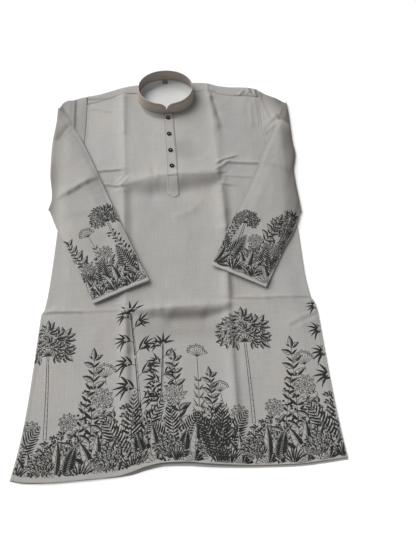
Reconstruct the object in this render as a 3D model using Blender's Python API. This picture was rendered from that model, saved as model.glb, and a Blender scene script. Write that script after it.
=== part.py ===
"""Kurta tunic laid flat on its back, every cut piece a solid of cloth.

All sizes are in millimetres until the mesh is written.  X runs across the
garment, +Y runs from the hem to the collar, +Z is up.  The garment is drawn
with its origin at the middle of the hem and moved to the middle of its own
box at the end.  The back layer lies on z = 0, the front layer lies on it,
and both sleeves are folded over the front.
"""

import math

import bpy
import numpy as np

MM = 0.001
CLOTH = 1.2             # thickness of one layer of cloth
SEAM = 0.3              # gap between two pieces
HEM_TURN = 18.0         # depth of the turned hem
HEM_PLY = 0.6           # extra thickness of the turned hem
TUBE = 2.0 * CLOTH + SEAM       # height of a flattened tube of cloth
ORIGIN_X = -1.0         # middle of the box, seen from the middle of the hem
ORIGIN_Y = 513.0

# ---------------------------------------------------------------- tables

# Lines that run up the body: side, pressed fold, neck side, placket edge.
GUIDES = (
    # y, left, fold_l, neck_l, slot_l, slot_r, neck_r, fold_r, right
    (-15, -336, -98, -66, 1, 29, 82, 116, 332),
    (45, -323, -99, -66, 0, 28, 82, 117, 327),
    (115, -312, -100, -67, -1, 27, 82, 118, 323),
    (220, -302, -101, -67, -1, 27, 82, 121, 320),
    (322, -294, -105, -68, -2, 26, 82, 123, 318),
    (345, -292, -106, -68, -2, 26, 82, 123, 314),
    (360, -285, -107, -68, -2, 26, 82, 124, 307),
    (430, -276, -106, -69, -2, 26, 82, 127, 302),
    (560, -266, -103, -69, -2, 26, 82, 132, 303),
    (650, -259, -108, -69, -2, 26, 82, 136, 298),
    (690, -255, -112, -69, -3, 25, 82, 134, 290),
    (715, -238, -107, -69, -3, 25, 82, 127, 275),
    (745, -224, -104, -70, -3, 25, 82, 126, 263),
    (785, -214, -104, -70, -4, 24, 82, 130, 255),
    (830, -208, -105, -70, -5, 23, 82, 133, 251),
    (900, -205, -106, -71, -6, 22, 82, 132, 251),
    (955, -204, -108, -72, -7, 22, 82, 122, 252),
    (1020, -211, -110, -73, -7, 22, 82, 121, 258),
)
HEMLINE = (
    # x, front_y, back_y
    (-336, -2, -3),
    (-300, -9, -11),
    (-248, -12, -12),
    (-180, -10, -9),
    (-128, -8, -9),
    (-99, -2, -7),
    (-68, 7, 1),
    (-33, 12, 6),
    (11, 11, 4),
    (46, 6, 0),
    (90, 1, -4),
    (154, -4, -8),
    (231, -6, -10),
    (285, -3, -7),
    (332, 1, -3),
)
SHOULDERS = (
    # x, edge_y (fold over the shoulder), seam_y (forward yoke seam)
    (-212, 981, 955),
    (-180, 986, 960),
    (-142, 998, 973),
    (-110, 1009, 984),
    (-73, 1016, 987),
    (82, 1018, 986),
    (115, 1015, 984),
    (144, 1004, 972),
    (178, 997, 965),
    (221, 994, 963),
    (260, 982, 960),
)
PRESSED = (
    # name, x0, y0, x1, y1, height, width_before, width_after
    ("fold left, upper", -109, 1000, -104, 712, 3.4, 46, 14),
    ("fold left, middle", -112, 690, -106, 350, 3.0, 40, 16),
    ("fold left, lower", -106, 340, -98, 60, 2.4, 34, 18),
    ("fold right, upper", 120, 1005, 128, 712, 4.0, 46, 14),
    ("fold right, middle", 138, 690, 123, 355, 3.0, 40, 18),
    ("fold right, lower", 123, 345, 117, 60, 2.4, 34, 18),
    ("across chest, left", -170, 724, -116, 730, 2.6, 20, 40),
    ("across chest, mid left", -107, 690, -6, 705, 4.6, 34, 60),
    ("across chest, mid right", -6, 705, 118, 710, 5.0, 38, 60),
    ("across chest, right", 140, 738, 232, 733, 3.0, 20, 40),
    ("across hips, left", -270, 350, -110, 344, 2.0, 24, 30),
    ("across hips, middle", -104, 342, 122, 350, 2.6, 24, 30),
    ("across hips, right", 126, 355, 292, 362, 2.2, 24, 30),
    ("slit corner", 262, 290, 306, 308, 1.8, 12, 14),
)
CROSS_LINES = dict(
    # rows of the front that follow its cross creases, as (x, y)
    hips=((-283, 353), (-110, 343), (122, 350), (299, 361)),
    chest=((-255, 722), (-107, 700), (-6, 705), (118, 712), (290, 735)),
    bust=((-255, 880), (290, 880)),
)
FRONT_BANDS = (
    # line that a band of rows ends at, and its rows of cells
    ("turn", 1),
    ("hips", 8),
    ("chest", 8),
    ("bust", 5),
    ("top", 3),
)
FRONT_STRIPS = (
    # strip between two guides, and its columns of cells
    ("left side", 5),
    ("left of the neck", 2),
    ("left of the placket", 0),
    ("placket", 2),
    ("right of the placket", 0),
    ("right of the neck", 2),
    ("right side", 5),
)
STRIPS_CLOSED = (1, 3, 5, 6)    # strips that keep their last column
START_Y = dict(low=300.0, neck=914.0, top=980.0)    # where searches begin
LOFT = 3.0              # air between the two layers of the body
LOFT_SIDE = 55.0        # distance over which it rises from a side edge
LOFT_END = 45.0         # the same from the shoulder and from the hem
CREST = 3.0             # roundness of a pressed crest
CREASE_END = 22.0       # length over which a crease runs out
NECK_STRETCH = 75.0 / 61.0      # length over width of the neck, inverted

RING = dict(x=5.0, y=973.5, half_x=75.0, half_y=61.0, power=2.35)
RING_TOP = dict(x=4.0, y=971.5, half_x=71.5, half_y=60.0, power=2.05)
BAND_HEIGHT = 36.0
BAND_WALL = 2.4
BAND_GAP = 1.2          # between the two front ends of the band
BAND_CORNER = 24.0      # length of the rounded corner at each end
BAND_CORNER_LOW = 10.0  # height at which the ends part
BAND_SLOPE = 0.4        # the top edge is this much lower inside
BAND_SECTION = (
    # side (0 outside, 1 inside), share of the height
    (0, 0),
    (0, 0.35),
    (0, 0.7),
    (0, 1),
    (1, 1),
    (1, 0.7),
    (1, 0.35),
    (1, 0),
)
BAND_FRONT = (0, 2, 5, 9, 14, 19)       # degrees from the front end
NECK_ANGLES = (168, 180, 192, 205, 219, 233, 247, 259)

YOKE_BACK_Y = 880.0
YOKE_FLAT = (0.0, 0.35, 0.7, 1.0)       # rows of the part on the floor
YOKE_OVER = (0.5, 1.0)                  # rows of the part over the front
LIP = dict(x=5.0, y=973.5, half_x=95.0, half_y=65.5)
TURN_STEPS = 4

PLACKET_PLY = 1.5
PLACKET_POINT_Y = 640.0
PLACKET_END_Y = 650.0
PLACKET_CLEAR = 8.0     # least length of its first whole row of cells
BUTTONS = (
    # name, x, y
    ("button_1", 7.0, 893),
    ("button_2", 7.5, 839),
    ("button_3", 9.0, 785),
    ("button_4", 10.5, 732),
)
BUTTON_PROFILE = (
    # radius, z
    (0.0, 0.0),
    (4.6, 0.0),
    (5.5, 0.5),
    (5.8, 1.2),
    (5.5, 1.9),
    (4.7, 2.3),
    (3.8, 2.1),
    (3.1, 1.5),
    (0.0, 1.4),
)
BUTTON_RADIUS = 5.8
BUTTON_SIDES = 20
LABEL = dict(x0=-4.0, x1=11.0, y0=1017.0, y1=1031.0, ply=0.8)

# The sleeves before they are folded over: a flat tube that runs out and
# down from the armhole.  Top is the folded upper edge, under the underarm.
# Bend rows are (share of the length, top and underarm offsets) and bow rows
# are (share of the fold from the top, offset of the fold), both outwards
# before the fold.
SLEEVES = dict(
    sleeve_left=dict(
        side=-1,
        top=((-206, 981), (-234, 968), (-256, 964), (-275, 950)),
        under=((-255, 690), (-266, 668), (-277, 646), (-288, 622)),
        cuff_in=(-52, 413),
        cuff_out=(-177, 363),
        bend=((0.22, 14, -3), (0.45, 9, -1), (0.75, 2, 0)),
        bow=((0, 0), (0.1, 0), (0.4, 4), (0.65, 1.5), (0.9, -8), (1, -2)),
    ),
    sleeve_right=dict(
        side=1,
        top=((256, 981), (272, 967), (298, 952), (321, 933)),
        under=((290, 690), (300, 665), (310, 626), (318, 585)),
        cuff_in=(89, 444),
        cuff_out=(208, 382),
        bend=((0.22, 3, -5), (0.5, -3, 0), (0.75, -1, 0)),
        bow=((0, 0), (0.1, 1), (0.37, 0), (0.48, 2.5), (0.66, -8), (1, -4)),
    ),
)
SLEEVE_FOLDS = dict(
    # x0, y0, x1, y1, height, width_before, width_after
    sleeve_left=(
        (-262, 655, -168, 716, 3.2, 30, 14),
        (-250, 600, -120, 620, 1.8, 30, 20),
        (-215, 780, -262, 840, 2.4, 22, 16),
        (-195, 560, -110, 440, 2.0, 26, 20),
        (-205, 450, -90, 470, 1.6, 22, 20),
    ),
    sleeve_right=(
        (222, 736, 306, 694, 3.2, 16, 30),
        (300, 610, 170, 640, 1.8, 30, 20),
        (300, 800, 250, 850, 2.4, 20, 16),
        (270, 560, 180, 470, 2.0, 26, 20),
        (140, 470, 215, 430, 1.6, 22, 20),
    ),
)
SLEEVE_LOFT = 3.6       # air inside a sleeve
SLEEVE_EDGE = 0.3       # share of the width over which it rises
SLEEVE_NEAR = 45.0      # length past the fold over which the layers part
SLEEVE_BEFORE = 25.0       # the same before the fold
SLEEVE_CLEAR = 0.9      # between the folded sleeve and the front
FOLD_INNER = 0.4        # inner radius of the fold
FOLD_STEPS = 4
BOW_REACH = 30.0        # how far the bow of the fold spreads into the cloth
SLEEVE_HEAD = (0.0, 0.3, 0.65, 1.0)      # rows from the armhole to the fold
SLEEVE_ROWS = 15
SLEEVE_CELLS = 8

# ------------------------------------------------------------ curve tools


def smooth_line(xs, ys):
    """Return a curve through the rows that never overshoots them."""
    xs = np.asarray(xs, float)
    ys = np.asarray(ys, float)
    step = np.diff(xs)
    slope = np.diff(ys) / step
    tangent = np.zeros_like(ys)
    before, after = slope[:-1], slope[1:]
    same = before * after > 0
    mean = np.zeros_like(before)
    mean[same] = 2 * before[same] * after[same] / (before[same] + after[same])
    tangent[1:-1] = mean
    tangent[0], tangent[-1] = slope[0], slope[-1]

    def value(x):
        x = np.clip(np.asarray(x, float), xs[0], xs[-1])
        i = np.clip(np.searchsorted(xs, x) - 1, 0, len(step) - 1)
        h = step[i]
        t = (x - xs[i]) / h
        a = (1 + 2 * t) * (1 - t) ** 2
        b = t * (1 - t) ** 2
        c = t * t * (3 - 2 * t)
        d = t * t * (t - 1)
        rise = b * h * tangent[i] + d * h * tangent[i + 1]
        return a * ys[i] + c * ys[i + 1] + rise

    return value


def columns(rows):
    """Split a table of numbers into one array for each column."""
    return [np.array(column, float) for column in zip(*rows)]


GUIDE_Y, *GUIDE_X = columns(GUIDES)
GUIDE_LINES = [smooth_line(GUIDE_Y, xs) for xs in GUIDE_X]
HEM_X, HEM_FRONT, HEM_BACK = columns(HEMLINE)
hem_front = smooth_line(HEM_X, HEM_FRONT)
hem_back = smooth_line(HEM_X, HEM_BACK)
SHOULDER_X, SHOULDER_EDGE, SHOULDER_SEAM = columns(SHOULDERS)
shoulder_edge = smooth_line(SHOULDER_X, SHOULDER_EDGE)
shoulder_seam = smooth_line(SHOULDER_X, SHOULDER_SEAM)
left_edge = GUIDE_LINES[0]
right_edge = GUIDE_LINES[-1]


def ease(x):
    """Smooth step from 0 to 1."""
    x = np.clip(x, 0.0, 1.0)
    return x * x * (3 - 2 * x)


def ring_point(shape, degrees, grow=0.0):
    """Point on a rounded oval at an angle, grown outwards by a distance."""
    angle = np.radians(degrees)
    c, s = np.cos(angle), np.sin(angle)
    a = shape["half_x"] + grow
    b = shape["half_y"] + grow
    n = shape.get("power", 2.0)
    reach = (np.abs(c / a) ** n + np.abs(s / b) ** n) ** (-1.0 / n)
    return shape["x"] + reach * c, shape["y"] + reach * s


def ridge(x, y, row):
    """Height of one pressed crease: a crest with a flank on each side."""
    x0, y0, x1, y1, height, before, after = row[-7:]
    length = math.hypot(x1 - x0, y1 - y0)
    ux, uy = (x1 - x0) / length, (y1 - y0) / length
    along = (x - x0) * ux + (y - y0) * uy
    across = -(x - x0) * uy + (y - y0) * ux
    width = np.where(across > 0, before, after)
    flank = np.sqrt(across**2 + CREST**2) - CREST
    beyond = np.maximum(np.maximum(-along, along - length), 0.0)
    return height * np.exp(-flank / width) * np.exp(-((beyond / CREASE_END) ** 2))


def ridges(x, y, rows):
    """Height of many creases; where two meet the higher one leads."""
    total = 0.0
    for row in rows:
        total = total + ridge(x, y, row) ** 3
    return np.cbrt(total)


def body_relief(x, y):
    """Height of the front layer above its flat rest, zero at its edges."""
    x = np.asarray(x, float)
    y = np.asarray(y, float)
    side = np.minimum(x - left_edge(y), right_edge(y) - x)
    top = shoulder_edge(x) - y
    low = y - hem_front(x)
    neck = np.hypot(x - RING["x"], (y - RING["y"]) * NECK_STRETCH)
    edges = ease(side / LOFT_SIDE) * ease(top / LOFT_END)
    edges = edges * (0.25 + 0.75 * ease(low / LOFT_END))
    edges = edges * (0.2 + 0.8 * ease((neck - RING["half_x"]) / LOFT_END))
    return edges * (LOFT + ridges(x, y, PRESSED))


def front_floor(x, y):
    """Underside of the front layer."""
    return CLOTH + SEAM + body_relief(x, y)


# ------------------------------------------------------------- mesh tools

COLLECTION = bpy.context.scene.collection


def clear_scene():
    """Remove every object that the scene starts with."""
    for thing in list(bpy.data.objects):
        bpy.data.objects.remove(thing, do_unlink=True)


def material(name, colour, roughness):
    """Make one Principled material."""
    mat = bpy.data.materials.new(name)
    mat.use_nodes = True
    shader = mat.node_tree.nodes["Principled BSDF"]
    shader.inputs["Base Color"].default_value = (*colour, 1.0)
    shader.inputs["Roughness"].default_value = roughness
    shader.inputs["Metallic"].default_value = 0.0
    return mat


def add_solid(name, points, faces, mat, smooth=True):
    """Write one closed mesh, moved to the part's origin, in metres."""
    points = np.asarray(points, float) - (ORIGIN_X, ORIGIN_Y, 0.0)
    mesh = bpy.data.meshes.new(name)
    mesh.from_pydata((points * MM).tolist(), [], faces)
    mesh.materials.append(mat)
    mesh.update()
    for polygon in mesh.polygons:
        polygon.use_smooth = smooth
    thing = bpy.data.objects.new(name, mesh)
    COLLECTION.objects.link(thing)
    return thing


def quad(a, b, c, d):
    """Two triangles for one four-sided cell."""
    return [(a, b, c), (a, c, d)]


def sheet(name, under, over, mat, present=None):
    """Close two grids of the same shape into one solid sheet.

    Present says which cells of the grid are cloth, and the walls follow
    the edge of those cells.
    """
    rows, cols = under.shape[:2]
    cells = np.ones((rows - 1, cols - 1), bool)
    if present is not None:
        cells = present
    used = np.zeros((rows, cols), bool)
    for i, j in zip(*np.nonzero(cells)):
        used[i : i + 2, j : j + 2] = True
    number = -np.ones((rows, cols), int)
    number[used] = np.arange(used.sum())
    count = int(used.sum())
    points = np.concatenate([under[used], over[used]])
    faces = []

    def filled(i, j):
        inside = 0 <= i < rows - 1 and 0 <= j < cols - 1
        return bool(inside and cells[i, j])

    for i, j in zip(*np.nonzero(cells)):
        a, b = number[i, j], number[i, j + 1]
        c, d = number[i + 1, j + 1], number[i + 1, j]
        faces += quad(a, d, c, b)
        faces += quad(a + count, b + count, c + count, d + count)
        if not filled(i - 1, j):
            faces += quad(a, b, b + count, a + count)
        if not filled(i, j + 1):
            faces += quad(b, c, c + count, b + count)
        if not filled(i + 1, j):
            faces += quad(c, d, d + count, c + count)
        if not filled(i, j - 1):
            faces += quad(d, a, a + count, d + count)
    return add_solid(name, points, faces, mat)


def tube(name, outer, inner, mat):
    """Close an outer and an inner loop per row into one open-ended tube."""
    rows, loop = outer.shape[:2]
    count = rows * loop
    points = np.concatenate([outer.reshape(-1, 3), inner.reshape(-1, 3)])
    faces = []
    for i in range(rows - 1):
        for j in range(loop):
            k = (j + 1) % loop
            a, b = i * loop + j, i * loop + k
            c, d = b + loop, a + loop
            faces += quad(a, b, c, d)
            faces += quad(a + count, d + count, c + count, b + count)
    last = (rows - 1) * loop
    for j in range(loop):
        k = (j + 1) % loop
        faces += quad(j, j + count, k + count, k)
        faces += quad(last + j, last + k, last + k + count, last + j + count)
    return add_solid(name, points, faces, mat)


def lathe(name, profile, centre, sides, mat):
    """Turn a profile that starts and ends on the axis about that axis."""
    turns = np.arange(sides) * 2 * math.pi / sides
    rings = [
        [(r * math.cos(t), r * math.sin(t), z) for t in turns]
        for r, z in profile[1:-1]
    ]
    points = [p for ring in rings for p in ring]
    low = len(points)
    points += [(0, 0, profile[0][1]), (0, 0, profile[-1][1])]
    faces = []
    for i in range(len(rings) - 1):
        for j in range(sides):
            k = (j + 1) % sides
            a, b = i * sides + j, i * sides + k
            faces += quad(a, b, b + sides, a + sides)
    last = (len(rings) - 1) * sides
    for j in range(sides):
        k = (j + 1) % sides
        faces.append((low, k, j))
        faces.append((low + 1, last + j, last + k))
    return add_solid(name, np.array(points) + centre, faces, mat)


# ----------------------------------------------------------------- pieces


def body_stations():
    """Columns of the front as (guide, share) pairs and their top points.

    Columns under the neck come from the angles of the collar, so that the
    panel's edge and the band share their corners.
    """
    left, right = [], []
    for degrees in NECK_ANGLES[1:]:
        left.append(ring_point(RING, degrees, SEAM))
        right.append(ring_point(RING, 540 - degrees, SEAM))
    slots = []
    for guide, (_, cells) in enumerate(FRONT_STRIPS):
        if guide == 2:
            slots += [("neck", x, y) for x, y in left]
        elif guide == 4:
            slots += [("neck", x, y) for x, y in reversed(right)]
        else:
            for k in range(cells):
                slots.append(("strip", guide, k / cells))
            if guide in STRIPS_CLOSED:
                slots.append(("strip", guide, 1.0))
    return slots


def guide_x(position, y):
    """X of a column at a height on the body; position is guide plus share."""
    lines = np.array([line(y) for line in GUIDE_LINES])
    low = min(int(position), len(GUIDE_LINES) - 2)
    share = position - low
    return lines[low] * (1 - share) + lines[low + 1] * share


def column_of(x, y):
    """Guide position of a point on the body."""
    lines = np.array([float(line(y)) for line in GUIDE_LINES])
    low = int(np.clip(np.searchsorted(lines, x) - 1, 0, len(lines) - 2))
    return low + (x - lines[low]) / (lines[low + 1] - lines[low])


def front_columns():
    """Position of each column of the front, with its top height."""
    found = []
    for slot in body_stations():
        if slot[0] == "neck":
            _, x, y = slot
            found.append((column_of(x, y), y))
            continue
        _, guide, share = slot
        position = guide + share
        y = START_Y["top"]
        for _ in range(4):
            y = float(shoulder_seam(guide_x(position, y)))
        if 2.9 < position < 4.1:
            x = float(guide_x(position, START_Y["neck"]))
            y = neck_y(x)
        found.append((position, y))
    found.sort()
    return [
        row
        for i, row in enumerate(found)
        if i == 0 or row[0] - found[i - 1][0] > 0.004
    ]


def neck_y(x):
    """Height of the front neck edge at x."""
    angles = np.linspace(180, 360, 361)
    xs, ys = ring_point(RING, angles, SEAM)
    return float(np.interp(x, xs, ys))


def level_line(name, x):
    """Height of a named row of the front at x."""
    if name == "hem":
        return hem_front(x)
    if name == "turn":
        return hem_front(x) + HEM_TURN
    return np.interp(x, *columns(CROSS_LINES[name]))


def front_grid():
    """Plan of the front: rows from the hem to the yoke seam and neck."""
    plan = []
    for position, top in front_columns():
        levels = []
        for name in ("hem", "turn", "hips", "chest", "bust"):
            y = 0.0 if name == "hem" else START_Y["low"]
            for _ in range(4):
                y = float(level_line(name, float(guide_x(position, y))))
            levels.append(y)
        levels.append(top)
        heights = [levels[0]]
        for k, (_, cells) in enumerate(FRONT_BANDS):
            for step in range(1, cells + 1):
                share = step / cells
                heights.append(levels[k] * (1 - share) + levels[k + 1] * share)
        plan.append([(float(guide_x(position, y)), y) for y in heights])
    return np.array(plan).transpose(1, 0, 2)


def with_height(plan, z):
    """Join a plan of x and y with heights."""
    return np.concatenate([plan, z[..., None]], axis=2)


def inset_sides(plan, gap):
    """Pull the outer columns of a plan in by the seam gap."""
    plan = plan.copy()
    plan[:, 0, 0] += gap
    plan[:, -1, 0] -= gap
    return plan


def make_front(mat):
    """Front panel: relief over the back, thicker at its turned hem."""
    plan = FRONT_PLAN
    z = front_floor(plan[..., 0], plan[..., 1])
    plan = inset_sides(plan, SEAM)
    plan[-1, :, 1] -= SEAM / 2
    turn = np.zeros(z.shape)
    turn[:2] = HEM_PLY
    under = with_height(plan, z)
    over = with_height(plan, z + CLOTH + turn)
    sheet("front_panel", under, over, mat)
    return over


def back_grid():
    """Plan of the back, from its own hem to the yoke seam."""
    shares = np.linspace(0, 1, 13)
    heights = sorted(set(GUIDE_Y[1:15]) | {60.0, 170.0, 270.0, 490.0})
    plan = []
    for y in heights:
        y = float(y)
        x = left_edge(y) + SEAM + shares * (right_edge(y) - left_edge(y) - 2 * SEAM)
        plan.append([(value, y) for value in x])
    ends = YOKE_BACK_Y - SEAM
    x = left_edge(ends) + SEAM + shares * (
        right_edge(ends) - left_edge(ends) - 2 * SEAM
    )
    plan.append([(value, ends) for value in x])
    x = left_edge(0) + SEAM + shares * (right_edge(0) - left_edge(0) - 2 * SEAM)
    plan.insert(0, [(value, float(hem_back(value)) + HEM_TURN) for value in x])
    plan.insert(0, [(value, float(hem_back(value))) for value in x])
    return np.array(plan)


FRONT_PLAN = front_grid()
BACK_PLAN = back_grid()


def make_back(mat):
    """Back panel: flat on the floor."""
    plan = BACK_PLAN
    flat = np.zeros(plan.shape[:2])
    sheet("back_panel", with_height(plan, flat), with_height(plan, flat + CLOTH), mat)


def make_yoke(mat):
    """Yoke: under the neck, over both shoulders, down to the front seams."""
    front = FRONT_PLAN[-1]
    tops = front_columns()
    neck = [i for i, row in enumerate(tops) if 1.999 < row[0] < 5.001]
    first, last = neck[0], neck[-1]
    seam_top = min(row[1] for row in (tops[0], tops[-1]))
    xs = front[:, 0]
    sides = {0: (left_edge, SEAM), len(xs) - 1: (right_edge, -SEAM)}
    under, over = [], []
    for x, seam_y, index in zip(xs, front[:, 1], range(len(xs))):
        shoulder = not first < index < last
        end = float(shoulder_edge(x)) - TUBE / 2
        if not shoulder:
            rel = (x - LIP["x"]) / LIP["half_x"]
            end = LIP["y"] + LIP["half_y"] * math.sqrt(1 - rel * rel)
        low, high = [], []
        for share in YOKE_FLAT:
            y = YOKE_BACK_Y * (1 - share) + end * share
            low.append((x, y, 0.0))
            high.append((x, y, CLOTH))
        for step in range(1, TURN_STEPS + 1):
            turn = math.pi * step / TURN_STEPS
            for loop, radius in ((low, TUBE / 2), (high, SEAM / 2)):
                y = end + radius * math.sin(turn)
                loop.append((x, y, TUBE / 2 - radius * math.cos(turn)))
        stop = seam_y + SEAM / 2 if shoulder else end
        for share in YOKE_OVER:
            y = end * (1 - share) + stop * share
            z = float(front_floor(x, y))
            low.append((x, y, z + CLOTH))
            high.append((x, y, z))
        under.append(low)
        over.append(high)
    under = np.array(under).transpose(1, 0, 2)
    over = np.array(over).transpose(1, 0, 2)
    for index, (line, gap) in sides.items():
        for grid in (under, over):
            grid[:, index, 0] = line(np.minimum(grid[:, index, 1], seam_top)) + gap
    present = np.ones((under.shape[0] - 1, under.shape[1] - 1), bool)
    present[len(YOKE_FLAT) - 1 :, first:last] = False
    sheet("yoke", under, over, mat, present)


def make_collar(mat):
    """Stand collar: an upright band with rounded ends at the front."""
    span = BAND_GAP / 2 / RING["half_x"]
    start = -90 + math.degrees(span)
    half = [start + degrees for degrees in BAND_FRONT]
    right = [540 - degrees - 360 for degrees in NECK_ANGLES]
    angles = sorted(set(half) | {a for a in right if a > start + 21})
    angles += list(np.linspace(angles[-1] + 9, 90, 8))
    mirror = [180 - a for a in angles[:-1]]
    angles = angles + mirror[::-1]
    outline = []
    for degrees in angles:
        from_front = abs(abs(degrees - 90) - 180)
        reach = math.radians(from_front) * RING["half_x"] - BAND_GAP / 2
        share = min(max(1 - reach / BAND_CORNER, 0.0), 1.0)
        drop = (BAND_HEIGHT - BAND_CORNER_LOW) * (1 - math.sqrt(1 - share**2))
        top = BAND_HEIGHT - drop
        section = []
        for side, height in BAND_SECTION:
            up = height * top / BAND_HEIGHT
            grow = -BAND_WALL * side
            x0, y0 = ring_point(RING, degrees, grow)
            x1, y1 = ring_point(RING_TOP, degrees, grow)
            z = CLOTH + SEAM + height * top
            if height == 1:
                z -= BAND_SLOPE * side
            section.append((x0 * (1 - up) + x1 * up, y0 * (1 - up) + y1 * up, z))
        outline.append(section)
    outline = np.array(outline)
    rows, loop = outline.shape[:2]
    faces = []
    for i in range(rows - 1):
        for j in range(loop):
            k = (j + 1) % loop
            a, b = i * loop + j, i * loop + k
            faces += quad(a, a + loop, b + loop, b)
    for row, flip in ((0, False), (rows - 1, True)):
        base = row * loop
        for a, b, c, d in ((0, 1, 6, 7), (1, 2, 5, 6), (2, 3, 4, 5)):
            ends = quad(base + a, base + b, base + c, base + d)
            faces += [face[::-1] for face in ends] if flip else ends
    add_solid("collar_band", outline.reshape(-1, 3), faces, mat)


def make_placket(front_top, mat):
    """Half placket: a strip made from the front's own points, moved up."""
    tops = front_columns()
    cols = [i for i, row in enumerate(tops) if 2.99 < row[0] < 4.01]
    lattice = front_top[:, cols]
    start = int(np.argmax(lattice[:, 0, 1] > PLACKET_END_Y + PLACKET_CLEAR))
    plan = lattice[start:].copy()
    share = np.linspace(0, 1, len(cols))
    point = 1 - np.abs(2 * share - 1)
    below, above = lattice[start - 1], lattice[start]
    want = PLACKET_END_Y + (PLACKET_POINT_Y - PLACKET_END_Y) * point
    mix = (want - below[:, 1]) / (above[:, 1] - below[:, 1])
    tip = below + (above - below) * mix[:, None]
    plan = np.concatenate([tip[None], plan])
    plan[-1, :, 1] -= SEAM
    under = plan + (0, 0, SEAM)
    over = under + (0, 0, PLACKET_PLY)
    sheet("placket", under, over, mat)
    return over


def grid_height(grid, y, reach):
    """Greatest height of a strip's surface between y - reach and y + reach."""
    spots = np.linspace(y - reach, y + reach, 9)
    heights = [
        np.interp(spots, grid[:, k, 1], grid[:, k, 2]) for k in range(grid.shape[1])
    ]
    return float(np.max(heights))


def make_buttons(placket_top, mat):
    """Four buttons that lie on the placket."""
    for name, x, y in BUTTONS:
        z = grid_height(placket_top, y, BUTTON_RADIUS) + SEAM
        lathe(name, BUTTON_PROFILE, np.array((x, y, z)), BUTTON_SIDES, mat)


def make_label(mat):
    """Blank label that lies on the yoke inside the back of the collar."""
    z = CLOTH + SEAM
    corners = [
        [(x, y, z) for x in (LABEL["x0"], LABEL["x1"])]
        for y in (LABEL["y0"], LABEL["y1"])
    ]
    under = np.array(corners, float)
    sheet("neck_label", under, under + (0, 0, LABEL["ply"]), mat)


# ---------------------------------------------------------------- sleeves


def mirror_in_line(point, origin, normal):
    """Mirror a plan point in the line through origin across its normal."""
    distance = (np.asarray(point, float) - origin) @ normal
    return np.asarray(point, float) - 2 * distance * normal


def path_point(points, share):
    """Point at a share of the way along a path, by its length."""
    points = np.asarray(points, float)
    steps = np.linalg.norm(np.diff(points, axis=0), axis=1)
    reach = np.concatenate([[0], np.cumsum(steps)]) / steps.sum()
    return np.array([np.interp(share, reach, points[:, k]) for k in (0, 1)])


def front_cover(x, y):
    """Smooth height that clears the front layer round a place."""
    highest = np.zeros(np.shape(x))
    for dx in (-20.0, 0.0, 20.0):
        for dy in (-20.0, 0.0, 20.0):
            highest = np.maximum(highest, safe_relief(x + dx, y + dy))
    return highest


def safe_relief(x, y):
    """Relief of the body, zero where there is no body."""
    inside = (x > left_edge(y)) & (x < right_edge(y))
    return np.where(inside, body_relief(x, y), 0.0)


def sleeve_rows(spec):
    """Stations of a flat sleeve: ends of each row before it is folded."""
    side = spec["side"]
    vertex = np.array(spec["top"][-1], float)
    elbow = np.array(spec["under"][-1], float)
    along = (elbow - vertex) / np.linalg.norm(elbow - vertex)
    normal = side * np.array((-along[1], along[0]))
    radius = TUBE + FOLD_INNER
    arc = math.pi * radius
    cuff_in = mirror_in_line(spec["cuff_in"], vertex, normal) + arc * normal
    cuff_out = mirror_in_line(spec["cuff_out"], vertex, normal) + arc * normal
    rows = []
    for share in SLEEVE_HEAD:
        rows.append((path_point(spec["top"], share), path_point(spec["under"], share)))
    for step in range(1, FOLD_STEPS + 1):
        shift = normal * arc * step / FOLD_STEPS
        rows.append((vertex + shift, elbow + shift))
    start_top, start_under = rows[-1]
    for step in range(1, SLEEVE_ROWS + 1):
        share = step / SLEEVE_ROWS
        top = start_top * (1 - share) + cuff_in * share
        under = start_under * (1 - share) + cuff_out * share
        bow_top = np.interp(share, *bend_table(spec, 1))
        bow_under = np.interp(share, *bend_table(spec, 2))
        rows.append((top + normal * bow_top, under + normal * bow_under))
    return rows, vertex, normal, arc


def bend_table(spec, column):
    """Shares and offsets of a sleeve's gentle bend, zero at both ends."""
    shares = [0.0] + [row[0] for row in spec["bend"]] + [1.0]
    offsets = [0.0] + [row[column] for row in spec["bend"]] + [0.0]
    return shares, offsets


def armhole_x(side, y):
    """Outermost edge of the body's own pieces at a height, plus the seam."""
    edge = 0 if side < 0 else -1
    reach = []
    for plan in (FRONT_PLAN, BACK_PLAN):
        line = plan[:, edge]
        reach.append(side * float(np.interp(y, line[:, 1], line[:, 0])))
    return side * (max(reach) + SEAM)


def fold_sleeve(points, spec, name, vertex, normal, arc):
    """Carry points of the flat tube through the fold and over the front."""
    flat = points[..., :2]
    z = points[..., 2]
    s = (flat - vertex) @ normal
    radius = TUBE + FOLD_INNER
    turn = np.clip(s / radius, 0.0, math.pi)
    base = flat - s[..., None] * normal
    reach = radius - z
    shift = np.where(s < 0, s, reach * np.sin(turn))
    shift = np.where(s > arc, arc - s, shift)
    height = radius - reach * np.cos(turn)
    bow_share, bow_offset = columns(spec["bow"])
    bow = np.interp(points[..., 3], bow_share, bow_offset) * ease(points[..., 4])
    shift = shift + bow * np.exp(-(((s - arc / 2) / BOW_REACH) ** 2))
    place = base + shift[..., None] * normal
    x, y = place[..., 0], place[..., 1]
    gone = ease((s - arc) / SLEEVE_NEAR)
    depth = (TUBE - z) / TUBE
    lift = (front_cover(x, y) + SLEEVE_CLEAR) * gone
    puff = sleeve_puff(points, name, x, y)
    height = height + np.where(s > arc, lift + puff * gone * depth, 0.0)
    before = ease(-s / SLEEVE_BEFORE)
    height = height + np.where(s < 0, puff * before * (1 - depth), 0.0)
    return np.concatenate([place, height[..., None]], axis=-1)


def sleeve_puff(points, name, x, y):
    """Air in the tube and its creases, zero at its edges and the armhole."""
    across = points[..., 3]
    edge = ease(np.minimum(across, 1 - across) / SLEEVE_EDGE) * ease(points[..., 4])
    return edge * (SLEEVE_LOFT + ridges(x, y, SLEEVE_FOLDS[name]))


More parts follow.
